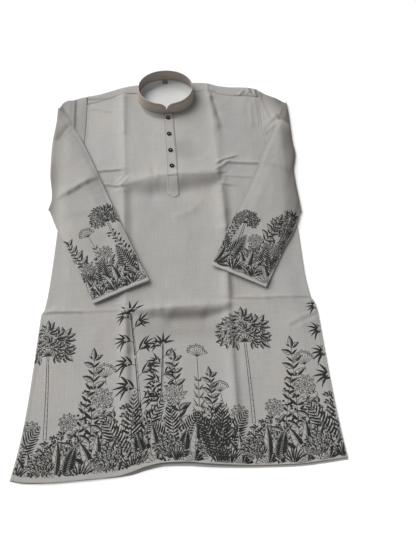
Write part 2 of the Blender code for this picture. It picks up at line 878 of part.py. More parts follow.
def make_sleeve(name, mat):
    """One sleeve: a flattened tube from the armhole to the cuff."""
    spec = SLEEVES[name]
    rows, vertex, normal, arc = sleeve_rows(spec)
    shares = np.linspace(0, 1, SLEEVE_CELLS + 1)
    first_top, first_under = rows[0]
    outer, inner = [], []
    for index, (top, under) in enumerate(rows):
        width = np.linalg.norm(under - top)
        fade = max(0.0, 1 - index / (len(SLEEVE_HEAD) - 1))
        for loop, wall in ((outer, 0.0), (inner, CLOTH)):
            corner = TUBE / 2
            inset = corner / width
            low = [(inset + t * (1 - 2 * inset), wall) for t in shares]
            high = [(inset + t * (1 - 2 * inset), TUBE - wall) for t in shares[::-1]]
            edge = wall / width
            ring = low + [(1 - edge, corner)] + high + [(edge, corner)]
            row = []
            for across, z in ring:
                place = top * (1 - across) + under * across
                if fade > 0:
                    start = first_top * (1 - across) + first_under * across
                    seam_x = armhole_x(spec["side"], start[1])
                    place = place + ((seam_x - start[0]) * fade, 0.0)
                row.append((place[0], place[1], z, across, 1 - fade))
            loop.append(row)
    outer = fold_sleeve(np.array(outer, float), spec, name, vertex, normal, arc)
    inner = fold_sleeve(np.array(inner, float), spec, name, vertex, normal, arc)
    if spec["side"] > 0:
        outer, inner = outer[:, ::-1], inner[:, ::-1]
    tube(name, outer, inner, mat)


# ------------------------------------------------------------------- main


def main():
    """Build every piece."""
    clear_scene()
    cloth = material("melange_cloth", (0.38, 0.37, 0.36), 0.9)
    band = material("band_cloth", (0.20, 0.175, 0.16), 0.9)
    horn = material("dark_button", (0.02, 0.016, 0.014), 0.35)
    paper = material("label_cloth", (0.42, 0.40, 0.26), 0.8)
    make_back(cloth)
    front_top = make_front(cloth)
    make_yoke(cloth)
    make_collar(band)
    placket_top = make_placket(front_top, cloth)
    make_buttons(placket_top, horn)
    make_label(paper)
    for name in SLEEVES:
        make_sleeve(name, cloth)


main()
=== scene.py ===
"""Dress the kurta tunic: thin cloth, seams, threads, buttons, printed border and stage.

Shapes are worked out in millimetres in the garment's own frame: its origin is the middle of the
hem, X runs across, +Y towards the collar and +Z up from the floor. A mesh is written in metres,
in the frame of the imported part.
"""

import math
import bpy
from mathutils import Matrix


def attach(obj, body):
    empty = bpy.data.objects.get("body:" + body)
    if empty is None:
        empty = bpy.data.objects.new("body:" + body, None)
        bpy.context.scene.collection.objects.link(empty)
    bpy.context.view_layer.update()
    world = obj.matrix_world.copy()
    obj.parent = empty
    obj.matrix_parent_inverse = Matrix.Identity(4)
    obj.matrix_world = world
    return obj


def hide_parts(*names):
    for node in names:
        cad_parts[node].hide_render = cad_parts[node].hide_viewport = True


bl_info = {
    "name": "Kurta tunic laid flat",
    "version": (1, 0, 0),
    "blender": (4, 5, 0),
    "location": "3D View > Sidebar > Kurta",
    "description": "Builds the cloth, trim and stage of a kurta laid flat",
    "category": "Object",
}

from functools import cache

import bpy
import numpy as np
from mathutils import Matrix

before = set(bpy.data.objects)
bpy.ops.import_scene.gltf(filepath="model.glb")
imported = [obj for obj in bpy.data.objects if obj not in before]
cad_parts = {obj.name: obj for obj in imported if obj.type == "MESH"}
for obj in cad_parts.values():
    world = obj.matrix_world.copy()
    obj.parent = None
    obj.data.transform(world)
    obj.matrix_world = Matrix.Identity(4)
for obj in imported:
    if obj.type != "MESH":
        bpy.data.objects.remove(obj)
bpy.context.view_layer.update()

MM = 0.001
ORIGIN = (-1.0, 513.0, 0.0)
CLOTH = 1.2                 # wall of the solids' cloth
SEAM = 0.3                  # gap between two panels
TOP = TUBE = 2 * CLOTH + SEAM       # rest height of the front's face; depth of a flat sleeve
FLOOR_GAP = 0.12
HEM_TURN = 18.0
UP = (0.0, 0.0, 1.0)

# --- size tables


def rows(text):
    """Table written as text: a comma ends a row, a space parts its cells; words stay words."""
    cell = lambda word: word if word[0].isalpha() else float(word) if "." in word else int(word)
    return tuple(tuple(map(cell, row.split())) for row in text.split(","))


# Creases and folds: x0, y0, x1, y1, height, width_before, width_after
# Rolls: x0, y0, x1, y1, height, width, dark (painted shade along the fold)

# Lines that run up the body: side, pressed fold, neck side, placket edge.
# y, left, fold_l, neck_l, slot_l, slot_r, neck_r, fold_r, right
GUIDES = rows("""
    -15 -336 -98 -66 1 29 82 116 332, 45 -323 -99 -66 0 28 82 117 327,
    115 -312 -100 -67 -1 27 82 118 323, 220 -302 -101 -67 -1 27 82 121 320,
    322 -294 -105 -68 -2 26 82 123 318, 345 -292 -106 -68 -2 26 82 123 314,
    360 -285 -107 -68 -2 26 82 124 307, 430 -276 -106 -69 -2 26 82 127 302,
    560 -266 -103 -69 -2 26 82 132 303, 650 -259 -108 -69 -2 26 82 136 298,
    690 -255 -112 -69 -3 25 82 134 290, 715 -238 -107 -69 -3 25 82 127 275,
    745 -224 -104 -70 -3 25 82 126 263, 785 -214 -104 -70 -4 24 82 130 255,
    830 -208 -105 -70 -5 23 82 133 251, 900 -205 -106 -71 -6 22 82 132 251,
    955 -204 -108 -72 -7 22 82 122 252, 1020 -211 -110 -73 -7 22 82 121 258
""")
# x, front_y, back_y
HEMLINE = rows("""
    -336 -2 -3, -300 -9 -11, -248 -12 -12, -180 -10 -9, -128 -8 -9, -99 -2 -7, -68 7 1, -33 12 6,
    11 11 4, 46 6 0, 90 1 -4, 154 -4 -8, 231 -6 -10, 285 -3 -7, 332 1 -3
""")
# x, edge_y (fold over the shoulder), seam_y (forward yoke seam)
SHOULDERS = rows("""
    -212 981 955, -180 986 960, -142 998 973, -110 1009 984, -73 1016 987, 82 1018 986, 115 1015 984,
    144 1004 972, 178 997 965, 221 994 963, 260 982 960
""")
PRESSED = rows("""
    -109 1000 -104 712 3.4 46 14, -112 690 -106 350 3.0 40 16, -106 340 -98 60 2.4 34 18,
    120 1005 128 712 4.0 46 14, 138 690 123 355 3.0 40 18, 123 345 117 60 2.4 34 18,
    -170 724 -116 730 2.6 20 40, -107 690 -6 705 4.6 34 60, -6 705 118 710 5.0 38 60,
    140 738 232 733 3.0 20 40, -270 350 -110 344 2.0 24 30, -104 342 122 350 2.6 24 30,
    126 355 292 362 2.2 24 30, 262 290 306 308 1.8 12 14
""")
# Creases of the front's own cloth, added to the pressed ones; a trough has a negative height.
WRINKLES = rows("""
    -106 985 -107 850 2.4 9 22, -107 850 -106 722 1.2 10 20, -109 664 -106 362 2.2 10 22,
    -105 325 -100 60 2.4 9 20, 120 1000 124 960 2.6 4 18, 124 960 136 862 3.0 7 22,
    136 862 129 730 1.0 12 20, 129 664 130 545 4.0 10 18, 130 545 124 372 3.4 9 20,
    122 325 117 60 2.6 8 20, -112 679 -40 699 4.2 22 20, -26 702 122 701 5.2 24 18,
    -172 732 -112 730 1.5 5 3.5, -168 719 -122 716 -0.9 7 6, -164 705 -143 697 1.3 6 3,
    -150 688 -120 679 1.7 6 3, -122 668 -100 700 1.6 5 3, -118 706 -98 710 -1.2 8 6,
    -86 684 -30 692 0.8 9 10, 146 739 226 734 2.4 6 3, 128 741 172 758 2.4 6 4, 122 710 152 738 2.6 6 4,
    136 708 154 716 -1.4 7 5, 128 701 208 693 1.0 6 3, 132 676 158 670 2.2 5 4, 126 655 140 694 1.4 8 5,
    14 585 56 604 1.4 7 12, 54 602 76 627 1.3 7 12, 276 290 318 304 2.0 7 6, -292 352 -262 354 1.8 6 4,
    -262 353 -212 343 1.3 6 8, -106 346 -30 343 2.4 12 9, -30 343 120 349 3.0 14 14,
    207 356 268 356 1.6 6 5, 266 357 314 338 1.8 6 6, 126 364 205 357 2.0 5 6,
    -203 943 -160 921 1.0 9 6, -203 934 -196 892 1.0 6 5, 226 936 223 862 1.5 6 4,
    240 948 243 866 1.3 6 4, 214 950 206 912 0.9 7 5, 250 876 262 838 1.4 6 4, 176 958 150 930 0.7 10 9,
    -40 300 20 326 0.8 16 20, -280 230 -214 222 0.8 12 14, 30 470 40 560 0.7 22 26,
    176 180 186 330 0.8 20 24, -190 120 -176 300 0.8 22 22, 58 838 96 776 -0.9 16 16,
    -60 850 -88 800 0.6 18 18, 222 560 268 470 0.8 18 22, -240 520 -232 420 0.8 20 16
""")
# Folds pressed the other way: a hump to the left of the line, a hollow to its right. The eighth
# number, where there is one, spreads the shade over the hollow.
ROLLS = rows("""
    136 850 130 897 1.1 7.5 0.12, 130 897 123 945 1.6 7.0 0.22, 123 945 119 984 1.5 5.0 0.28,
    134 790 136 845 0.4 12 0.03, 133 530 135 585 1.8 11 0.10 1.6, 135 585 135 668 1.8 11 0.15 1.6,
    -103 859 -102 969 0.5 9 0.0, -104 722 -103 859 0.2 9 0.0, -100 520 -99 664 1.3 10 0.10,
    -102 250 -101 338 1.5 8 0.22 2.0, -104 120 -102 250 1.4 9 0.14, 125 368 127 430 1.7 8 0.26 2.4,
    121 305 121 340 1.4 7 0.24, 122 120 121 305 1.1 9 0.12, -98 671 -40 671 2.2 19 0.20,
    -40 671 30 676 2.5 20 0.28, 30 676 114 685 2.9 20 0.34, -98 337 -50 333 1.0 9 0.16,
    -50 333 -5 329 2.0 12 0.26, -5 329 66 329 3.0 14 0.50, 66 329 112 336 2.2 9 0.34,
    -292 350 -206 346 0.9 3.4 0.34, -206 345 -126 345 0.4 3.4 0.16, 150 736 226 730 0.6 3.4 0.26,
    126 735 139 744 0.7 3.0 0.40, 139 744 168 755 0.7 3.0 0.40, 121 713 145 733 0.9 3.2 0.46,
    124 702 143 708 0.7 3.0 0.40, 126 671 150 669 0.9 3.2 0.36, 142 696 200 691 0.4 3.0 0.12,
    -168 726 -119 728 0.8 3.0 0.40, -152 685 -122 678 0.8 3.0 0.34, -122 678 -105 675 0.8 3.0 0.30,
    -122 690 -110 704 0.6 3.0 0.16, -189 934 -140 919 0.5 3.4 0.14, 255 292 318 320 1.0 4.5 0.26,
    127 361 204 358 0.5 3.2 0.24, 204 358 306 357 0.5 3.2 0.30
""")
# Soft patches of painted shade: x, y, half width across, half width up, dark.
SHADE_PATCHES = rows("""
    38 788 30 30 0.26, 96 690 34 20 0.10, 10 306 100 34 0.26, -152 967 60 5 0.10, -204 900 6 70 0.14
""")
# Painted light on the chest: the cloth all round it gets this much painted shade, the chest less.
LIT_CHEST = (-75, 850, 135, 135, 0.17)     # the chest's clearer side; all round it is duller
# The same on the yoke: puckers where the sleeve is gathered in.
YOKE_WRINKLES = rows("""
    -206 977 -158 979 1.0 4 4, 229 995 222 968 1.8 5 3, 214 984 203 968 1.3 5 4,
    248 990 238 966 1.8 4 4, 196 986 206 972 0.9 6 4, 118 1014 121 988 2.2 16 4,
    -109 1008 -109 986 1.2 16 6
""")
# Rolled folds of the yoke; the seventh number is painted shade along the fold.
YOKE_ROLLS = rows("""
    -208 970 -161 968 0.5 3.0 0.36, 119 984 119 1012 0.8 3.0 0.40, 234 970 229 992 1.2 3.2 0.56,
    248 960 244 986 1.4 3.4 0.70, 204 964 213 975 0.8 3.0 0.26, 213 962 224 971 0.6 3.0 0.20
""")
LOFT, LOFT_SIDE, LOFT_END = 3.0, 55.0, 45.0     # puff of the front, and how soon it reaches it
CREST, CREASE_END = 3.0, 22.0           # roundness of a pressed crease, and how softly it ends
WRINKLE_CREST, WRINKLE_END = 1.2, 7.0   # the same for a small crease
ROLL_GAIN = 1.6487                      # sqrt(e): a rolled fold's hump is as high as stated
ROLL_SPREAD = 0.85
SLIT = dict(top=335, sewn=7.0, dark=0.26)
# Painted shade: the colour a cloth is darkened towards by its per-point shade value, standing in for shade
# in seams, creases and under parts.
PAINTED_SHADE_TONE = (0.42, 0.395, 0.37, 1)      # what is left of the colour where the shade is full

RING = dict(x=5.0, y=973.5, half_x=75.0, half_y=61.0, power=2.35)
RING_TOP = dict(x=4.0, y=971.5, half_x=71.5, half_y=60.0, power=2.05)
NECK_STRETCH = 75.0 / 61.0
BAND = dict(height=36.0, wall=2.4, gap=0.2, corner=24.0, low=13.5, bulge=0.8)
YOKE_BACK_Y = 880.0
NECK = dict(left=-52.0, right=62.0)     # the yoke's flaps end here and meet the collar's foot
LIP = dict(x=5.0, y=973.5, half_x=95.0, half_y=65.5)
PLACKET = dict(point=640.0, end=650.0, bar=698.0, width=28.0)
BUTTONS = (
    # name, x, y
    ("button_1", 7.0, 893), ("button_2", 7.5, 839), ("button_3", 9.0, 785), ("button_4", 10.5, 732),
)
# radius, height
BUTTON_PROFILE = rows("""
    0.0 0.0, 3.0 0.0, 4.6 0.05, 5.35 0.35, 5.75 0.95, 5.8 1.35, 5.55 1.9, 5.0 2.25, 4.5 2.28, 4.0 2.05,
    3.6 1.65, 3.1 1.42, 2.4 1.34, 1.6 1.3, 0.8 1.28, 0.0 1.28
""")
LABEL = dict(x0=-4.0, x1=11.0, y0=1017.0, y1=1031.0)

SLEEVES = dict(
    sleeve_left=dict(
        side=-1, top=((-206, 981), (-221, 978), (-240, 971), (-257, 970), (-268, 962), (-277, 943)),
        under=((-255, 690), (-266, 668), (-277, 646), (-288, 622)), cuff_in=(-52, 413),
        cuff_out=(-177, 363), bend=((0.22, 14, -3), (0.45, 9, -1), (0.75, 2, 0)),
        bow=((0, 0), (0.1, 0), (0.4, 5.5), (0.65, 3), (0.9, -7), (1, -1)),
    ),
    sleeve_right=dict(
        side=1, top=((256, 981), (272, 967), (298, 952), (321, 933)),
        under=((290, 690), (300, 665), (310, 626), (318, 585)), cuff_in=(89, 444), cuff_out=(208, 382),
        bend=((0.22, 3, -5), (0.5, -3, 0), (0.75, -1, 0)),
        bow=((0, 0), (0.1, 1), (0.37, 0), (0.48, 2.5), (0.66, -8), (1, -4)),
    ),
)
SLEEVE_FOLDS = dict(
    sleeve_left=rows("""
        -262 655 -168 716 3.2 30 14, -250 600 -120 620 1.8 30 20, -215 780 -262 840 2.4 22 16,
        -195 560 -110 440 2.0 26 20, -205 450 -90 470 1.6 22 20
    """),
    sleeve_right=rows("""
        222 736 306 694 3.2 16 30, 300 610 170 640 1.8 30 20, 300 800 250 850 2.4 20 16,
        270 560 180 470 2.0 26 20, 140 470 215 430 1.6 22 20
    """),
)
SLEEVE_WRINKLES = dict(
    sleeve_left=rows("""
        -268 656 -170 713 1.8 14 9, -238 880 -272 838 -1.8 9 12, -234 968 -231 868 2.4 5 7,
        -268 880 -276 690 2.4 4 14, -180 640 -150 540 1.0 16 18, -236 560 -150 500 1.0 16 12,
        -120 560 -96 470 0.9 12 16, -250 800 -200 760 0.9 20 22, -200 470 -170 410 0.8 14 12
    """),
    sleeve_right=rows("""
        232 731 304 694 1.2 10 9, 290 880 316 848 2.0 6 9, 296 862 292 700 3.0 30 14,
        306 660 312 590 2.0 20 9, 262 676 240 590 1.0 18 16, 168 596 206 560 1.3 6 8,
        262 956 288 884 1.2 7 6, 252 930 276 876 1.2 6 5, 214 540 246 470 1.0 14 14,
        230 650 180 540 0.9 22 20
    """),
)
# Rolled folds of the sleeves; the seventh number is painted shade along the fold.
SLEEVE_ROLLS = dict(
    sleeve_left=rows("""
        -266 650 -240 660 0.7 4.0 0.16 2.4, -240 660 -217 675 1.0 4.0 0.34 2.6,
        -217 675 -194 689 1.0 4.0 0.32 2.6, -194 689 -166 705 0.8 4.0 0.28 4.0,
        -243 881 -273 834 2.2 4.5 0.44 3.0, -234 878 -235 966 1.2 3.4 0.90,
        -242 888 -244 960 0.0 9 0.30, -272 948 -246 899 0.0 3.5 0.50, -246 899 -233 868 0.0 3.5 0.60,
        -205 600 -150 520 0.5 20 0.04
    """),
    sleeve_right=rows("""
        232 728 284 703 0.8 7 0.07, 256 846 292 886 1.3 4 0.44, 258 830 280 850 1.2 4 0.40,
        266 866 250 930 0.0 6 0.12, 272 884 256 960 1.0 5 0.22, 258 946 260 975 1.0 4 0.34
    """),
)
# How the outer fold rounds off (rise, reach, and dark: painted shade towards the outer fold), and how much
# darker the rest is.
SLEEVE_EDGE = dict(sleeve_left=(3.0, 20.0, 0.36, 0.20), sleeve_right=(6.5, 34.0, 0.62, 0.30))
# Painted shade patches: x, y, half width across, half width up, dark
SLEEVE_SHADE_PATCHES = dict(
    sleeve_left=rows("""
        -262 935 27 44 0.10, -274 860 12 26 0.12, -211 900 6 60 0.16, -290 690 20 80 0.34
    """),
    sleeve_right=rows("""
        305 800 22 40 0.08, 306 945 16 12 0.12
    """),
)
# Flap of the right sleeve that is turned under at the shoulder and lies in shade; the shade is painted.
SLEEVE_FLAP = ((316, 926), (292, 874), (323, 854), (334, 894))
SLEEVE_LOFT, SLEEVE_CLEAR = 3.6, 0.6
FOLD_RADIUS = TUBE + 0.4
FOLD_ARC = math.pi * FOLD_RADIUS
BOW_REACH = 30.0
COVER = dict(x=-360, y=300, top=1040, cell=4.0)

# --- curve tools


def smooth_line(xs, ys):
    """Monotone cubic through the rows: Hermite with harmonic-mean slopes, so that it never overshoots."""
    xs, ys = np.asarray(xs, float), np.asarray(ys, float)
    step = np.diff(xs)
    slope = np.diff(ys) / step
    before, after = slope[:-1], slope[1:]
    same = before * after > 0
    mean = np.zeros(len(before))
    mean[same] = 2 * before[same] * after[same] / (before[same] + after[same])
    tangent = np.r_[slope[0], mean, slope[-1]]

    def value(x):
        x = np.clip(np.asarray(x, float), xs[0], xs[-1])
        i = np.clip(np.searchsorted(xs, x) - 1, 0, len(step) - 1)
        h = step[i]
        t = (x - xs[i]) / h
        rise = t * (1 - t) ** 2 * h * tangent[i] + t * t * (t - 1) * h * tangent[i + 1]
        return (1 + 2 * t) * (1 - t) ** 2 * ys[i] + t * t * (3 - 2 * t) * ys[i + 1] + rise

    return value


def lines_of(rows):
    """Smooth lines through a table: each later column against the first one."""
    first, *others = zip(*rows)
    return [smooth_line(first, column) for column in others]


GUIDE_LINES = lines_of(GUIDES)
left_edge, right_edge = GUIDE_LINES[0], GUIDE_LINES[-1]
hem_front, hem_back = lines_of(HEMLINE)
shoulder_edge, shoulder_seam = lines_of(SHOULDERS)


def ease(x):
    """Smooth step 3x^2 - 2x^3 from 0 to 1."""
    x = np.clip(x, 0.0, 1.0)
    return x * x * (3 - 2 * x)


def bell(distance, width, power=2):
    """exp(-(distance / width)^power): 1 in the middle, 0 far out."""
    return np.exp(-((distance / width) ** power))


def unit(vectors):
    """Vectors brought to length 1."""
    return vectors / np.maximum(np.linalg.norm(vectors, axis=-1, keepdims=True), 1e-9)


def layers(*parts):
    """Stack coordinates, spread to one shape, along a new last axis."""
    return np.stack(np.broadcast_arrays(*parts), -1)


def ring_point(shape, degrees, grow=0.0):
    """Point of the rounded oval |x/a|^n + |y/b|^n = 1 at an angle, grown outwards by a distance."""
    c, s = np.cos(np.radians(degrees)), np.sin(np.radians(degrees))
    n = shape["power"]
    a, b = shape["half_x"] + grow, shape["half_y"] + grow
    reach = (np.abs(c / a) ** n + np.abs(s / b) ** n) ** (-1.0 / n)
    return shape["x"] + reach * c, shape["y"] + reach * s


def from_side(x, y):
    """Distance from the nearer side edge of the body."""
    return np.minimum(x - left_edge(y), right_edge(y) - x)


def from_neck(x, y, across=0.0, down=0.0):
    """Distance from the neck's middle, or from a spot slid across and down from it, y stretched to x."""
    return np.hypot(x - RING["x"] - across, (y + down - RING["y"]) * NECK_STRETCH)


def from_line(x, y, row):
    """Distance to the left of a row's line, and distance past its nearer end."""
    x0, y0, x1, y1 = row[:4]
    length = math.hypot(x1 - x0, y1 - y0)
    ux, uy = (x1 - x0) / length, (y1 - y0) / length
    along = (x - x0) * ux + (y - y0) * uy
    return (y - y0) * ux - (x - x0) * uy, np.maximum(np.maximum(-along, along - length), 0.0)


def crease(x, y, row, crest, end):
    """height * exp(-(sqrt(across^2 + crest^2) - crest) / width), fading past both ends as a bell."""
    across, beyond = from_line(x, y, row)
    width = np.where(across > 0, row[5], row[6])
    return row[4] * np.exp((crest - np.sqrt(across**2 + crest**2)) / width) * bell(beyond, end)


def pressed_height(x, y, rows):
    """Cube root of the sum of the cubes of the creases, so that the highest one leads."""
    return np.cbrt(sum(crease(x, y, row, CREST, CREASE_END) ** 3 for row in rows))


def roll_share(x, y, row):
    """Distance across a rolled fold in units of its width, and its fading past both ends."""
    across, beyond = from_line(x, y, row)
    return across / row[5], bell(beyond, 0.8 * row[5] + 3.0)


def small_creases(x, y, wrinkles, rolls):
    """Sum of the small creases, and of height * sqrt(e) * s * exp(-s^2 / 2) for each rolled fold."""
    total = sum(crease(x, y, row, WRINKLE_CREST, WRINKLE_END) for row in wrinkles)
    for row in rolls:
        across, fade = roll_share(x, y, row)
        total = total + row[4] * ROLL_GAIN * across * np.exp(-(across**2) / 2) * fade
    return total


def rolled_dark(x, y, rows):
    """Highest of the bells that lie along the rolled folds: the cloth's painted shade."""
    total = np.zeros(np.shape(x))
    for row in rows:
        across, fade = roll_share(x, y, row)
        spread = np.where(across < 0, (*row, ROLL_SPREAD)[7], ROLL_SPREAD)
        total = np.maximum(total, row[6] * bell(across, spread) * fade)
    return total


def patches(x, y, rows):
    """Sum of soft-edged dull patches: dark * exp(-(across / half)^4 - (up / half)^4)."""
    return sum(row[4] * bell(x - row[0], row[2], 4) * bell(y - row[1], row[3], 4) for row in rows)


def body_relief(x, y):
    """Height of the front layer above its rest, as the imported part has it; low at every edge."""
    low = 0.25 + 0.75 * ease((y - hem_front(x)) / LOFT_END)
    neck = 0.2 + 0.8 * ease((from_neck(x, y) - RING["half_x"]) / LOFT_END)
    edges = ease(from_side(x, y) / LOFT_SIDE) * ease((shoulder_edge(x) - y) / LOFT_END) * low * neck
    return edges * (LOFT + pressed_height(x, y, PRESSED))


def ripple(x, y):
    """Slow uneven waves of a cloth that was folded small: a sum of six slanted sines, under 1 mm."""
    return (
        0.26 * np.sin(x / 17.0 + 1.4 * np.sin(y / 61.0))
        + 0.24 * np.sin(y / 23.0 + 1.6 * np.sin(x / 47.0) + 0.7)
        + 0.22 * np.sin((x + y) / 31.0 + 1.3 * np.sin(y / 53.0) + 1.9)
        + 0.12 * np.sin((x - 0.6 * y) / 11.0 + 1.2 * np.sin(y / 37.0))
        + 0.07 * np.sin((0.4 * x + y) / 7.3 + 1.7 * np.sin(x / 29.0))
        + 0.04 * np.sin((x + 0.3 * y) / 4.4 + 2.1 * np.sin(y / 19.0))
    )


def front_rise(x, y):
    """Height of the front layer above its rest, with its own creases."""
    near = ease(from_side(x, y) / 14.0) * (0.3 + 0.7 * ease((y - hem_front(x)) / 30.0))
    small = small_creases(x, y, WRINKLES, ROLLS) + ripple(x, y)
    return np.maximum(body_relief(x, y) + near * small, 0.0)


def front_top(x, y):
    """Top face of the front layer: its rise, the turned hem, and the hem's middle that stands open."""
    low = y - hem_front(x)
    turn = 0.5 * ease(from_side(x, y) / 14.0) * (1 - ease((low - HEM_TURN + 1.0) / 2.0))
    mouth = 3.2 * ease((x + 120) / 70) * ease((150 - x) / 90) * bell(np.maximum(low, 0), 26.0)
    return TOP + front_rise(x, y) + turn + mouth


# --- mesh tools


def to_frame(points):
    """Garment millimetres to the frame's metres."""
    return (np.asarray(points, float) - ORIGIN) * MM


def facing_out(points, faces):
    """The quads, turned over if their tetrahedra from the origin add up to a negative volume."""
    a, b, c, d = (points[faces[:, k]] for k in range(4))
    volume = np.einsum("ij,ij->i", a, np.cross(b, c) + np.cross(c, d)).sum()
    return faces[:, ::-1] if volume < 0 else faces


def add_object(name, data):
    """New object in the scene."""
    made = bpy.data.objects.new(name, data)
    bpy.context.scene.collection.objects.link(made)
    return made


def add_mesh(name, points, faces=()):
    """New object with a mesh, written in metres."""
    mesh = bpy.data.meshes.new(name)
    mesh.from_pydata(to_frame(points).tolist(), [], faces)
    return add_object(name, mesh), mesh


def add_piece(name, points, faces, finishes, uv=None, index=None, values=(), ride=True):
    """Piece of the model; uv is per point, values are named numbers per point."""
    piece, mesh = add_mesh(name, points, faces)
    for finish in finishes:
        mesh.materials.append(finish_of(finish))
    if index is not None:
        mesh.polygons.foreach_set("material_index", np.asarray(index, np.int32))
    mesh.polygons.foreach_set("use_smooth", np.ones(len(mesh.polygons), bool))
    if uv is not None:
        corner = np.zeros(len(mesh.loops), np.int32)
        mesh.loops.foreach_get("vertex_index", corner)
        layer = mesh.uv_layers.new(name="cut")
        layer.data.foreach_set("uv", (np.asarray(uv, float) * MM)[corner].ravel())
    for key, value in dict(values).items():
        layer = mesh.attributes.new(key, "FLOAT", "POINT")
        layer.data.foreach_set("value", np.asarray(value, np.float32).ravel())
    mesh.update()
    if ride:
        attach(piece, "root")
    return piece


def normals_of(grid):
    """Unit cross product of the steps along the columns and along the rows."""
    return unit(np.cross(np.gradient(grid, axis=1), np.gradient(grid, axis=0)))


def tube_faces(rows, loop, cap=()):
    """Quads of a tube numbered row by row, with the cap's quads at both ends."""
    i, j = np.meshgrid(np.arange(rows - 1) * loop, np.arange(loop), indexing="ij")
    k = (j + 1) % loop
    quads = np.stack([i + j, i + k, i + loop + k, i + loop + j], -1).reshape(-1, 4)
    cap = np.array(cap, int).reshape(-1, 4)
    return np.concatenate([quads, cap[:, ::-1], cap + (rows - 1) * loop])


def shell_faces(present, closed, number, count):
    """Quads of the outer face, the inner face and the wall round every edge."""
    cols = number.shape[1]

    def corners(cells):
        i, j = np.nonzero(cells)
        k = (j + 1) % cols
        return number[i, j], number[i, k], number[i + 1, k], number[i + 1, j]

    a, b, c, d = corners(present)
    parts = [np.stack([a, b, c, d], 1), np.stack([a, d, c, b], 1) + count]
    for side, (shift, axis) in enumerate(((1, 0), (-1, 1), (-1, 0), (1, 1))):
        near = np.roll(present, shift, axis=axis)
        if axis == 0 or not closed:
            np.moveaxis(near, axis, 0)[0 if shift > 0 else -1] = False
        found = corners(present & ~near)
        first, second = found[side], found[(side + 1) % 4]
        parts.append(np.stack([second, first, first + count, second + count], 1))
    return np.concatenate(parts)


def add_shell(name, outer, inner, finishes, uv, painted_shade, present=None, closed=False):
    """Close two grids of points into one thin body; a second finish, or a second painted shade in a pair, is
    the inner face's.
    """
    rows, cols = outer.shape[:2]
    if present is None:
        present = np.ones((rows - 1, cols if closed else cols - 1), bool)
    used = np.zeros((rows, cols), bool)
    i, j = np.nonzero(present)
    for column in (j, (j + 1) % cols):
        used[i, column] = used[i + 1, column] = True
    count = int(used.sum())
    number = np.full((rows, cols), -1)
    number[used] = np.arange(count)
    points = np.concatenate([outer[used], inner[used]])
    faces = facing_out(points, shell_faces(present, closed, number, count))
    index = np.zeros(len(faces), int)
    index[len(i) : 2 * len(i)] = len(finishes) - 1
    pair = painted_shade if isinstance(painted_shade, tuple) else (painted_shade, painted_shade)
    shade = np.concatenate([face[used] for face in pair])
    uv = np.tile(uv[used], (2, 1))
    return add_piece(name, points, faces.tolist(), finishes, uv, index, {"painted_shade": shade})


def roll_side(grid, side, radius, sense):
    """Turn one edge of a sheet through a quarter circle; sense is -1 for down and 1 for up."""
    rim, inner = (grid[:, :1], grid[:, 1:2]) if side == 0 else (grid[:, -1:], grid[:, -2:-1])
    out = unit((rim - inner) * (1, 1, 0))
    turns = []
    for angle in np.radians((0, 25, 50, 72, 90)):
        bend = out * (math.sin(angle) - 1) + np.array(UP) * sense * (1 - math.cos(angle))
        turns.append(rim + bend * radius)
    if side == 0:
        return np.concatenate(turns[::-1] + [grid[:, 1:]], axis=1)
    return np.concatenate([grid[:, :-1]] + turns, axis=1)


def roll_low(grid, radius, sense):
    """Turn the lowest row of a sheet through a quarter circle."""
    return roll_side(grid.transpose(1, 0, 2), 0, radius, sense).transpose(1, 0, 2)


# --- materials


def feed(tree, node, inputs):
    """Give inputs of a node a link or a fixed value."""
    for key, value in inputs.items():
        if isinstance(value, bpy.types.NodeSocket):
            tree.links.new(value, node.inputs[key])
        else:
            node.inputs[key].default_value = value
    return node


def add_node(tree, kind, inputs=(), **settings):
    """One node with its settings and its inputs."""
    made = tree.nodes.new(kind)
    for key, value in settings.items():
        setattr(made, key, value)
    return feed(tree, made, dict(inputs))


def do_math(tree, operation, a, b=0.0, c=0.0):
    """Output of one Math node."""
    return add_node(tree, "ShaderNodeMath", {0: a, 1: b, 2: c}, operation=operation).outputs[0]


def blend_colours(tree, blend, share, a, b):
    """Output of one colour Mix node."""
    inputs = {0: share, 6: a, 7: b}
    return add_node(tree, "ShaderNodeMix", inputs, data_type="RGBA", blend_type=blend).outputs[2]


def noise_of(tree, vector, scale, detail, swirl=0.0):
    """Output of one Noise node."""
    inputs = {"Vector": vector, "Scale": scale, "Detail": detail, "Distortion": swirl}
    return add_node(tree, "ShaderNodeTexNoise", inputs).outputs[0]


def bump_of(tree, height, strength, distance):
    """Normal of a bumped face."""
    inputs = {"Height": height, "Strength": strength, "Distance": distance}
    return add_node(tree, "ShaderNodeBump", inputs).outputs[0]


def value_of(tree, name):
    """Named number of the face."""
    return add_node(tree, "ShaderNodeAttribute", attribute_name=name).outputs["Fac"]


def two_tones(tree, value, low, high, first, second):
    """First colour up to a low value, second one from a high value on."""
    share = add_node(tree, "ShaderNodeMapRange", {0: value, 1: low, 2: high}).outputs[0]
    return blend_colours(tree, "MIX", share, (*first, 1), (*second, 1))


def streaks(tree, vector, scale, detail, offset):
    """Noise stretched along one thread direction, centred on zero."""
    place = add_node(tree, "ShaderNodeMapping", {"Vector": vector, "Scale": scale, "Location": offset})
    return do_math(tree, "SUBTRACT", noise_of(tree, place.outputs[0], 1.0, detail), 0.5)


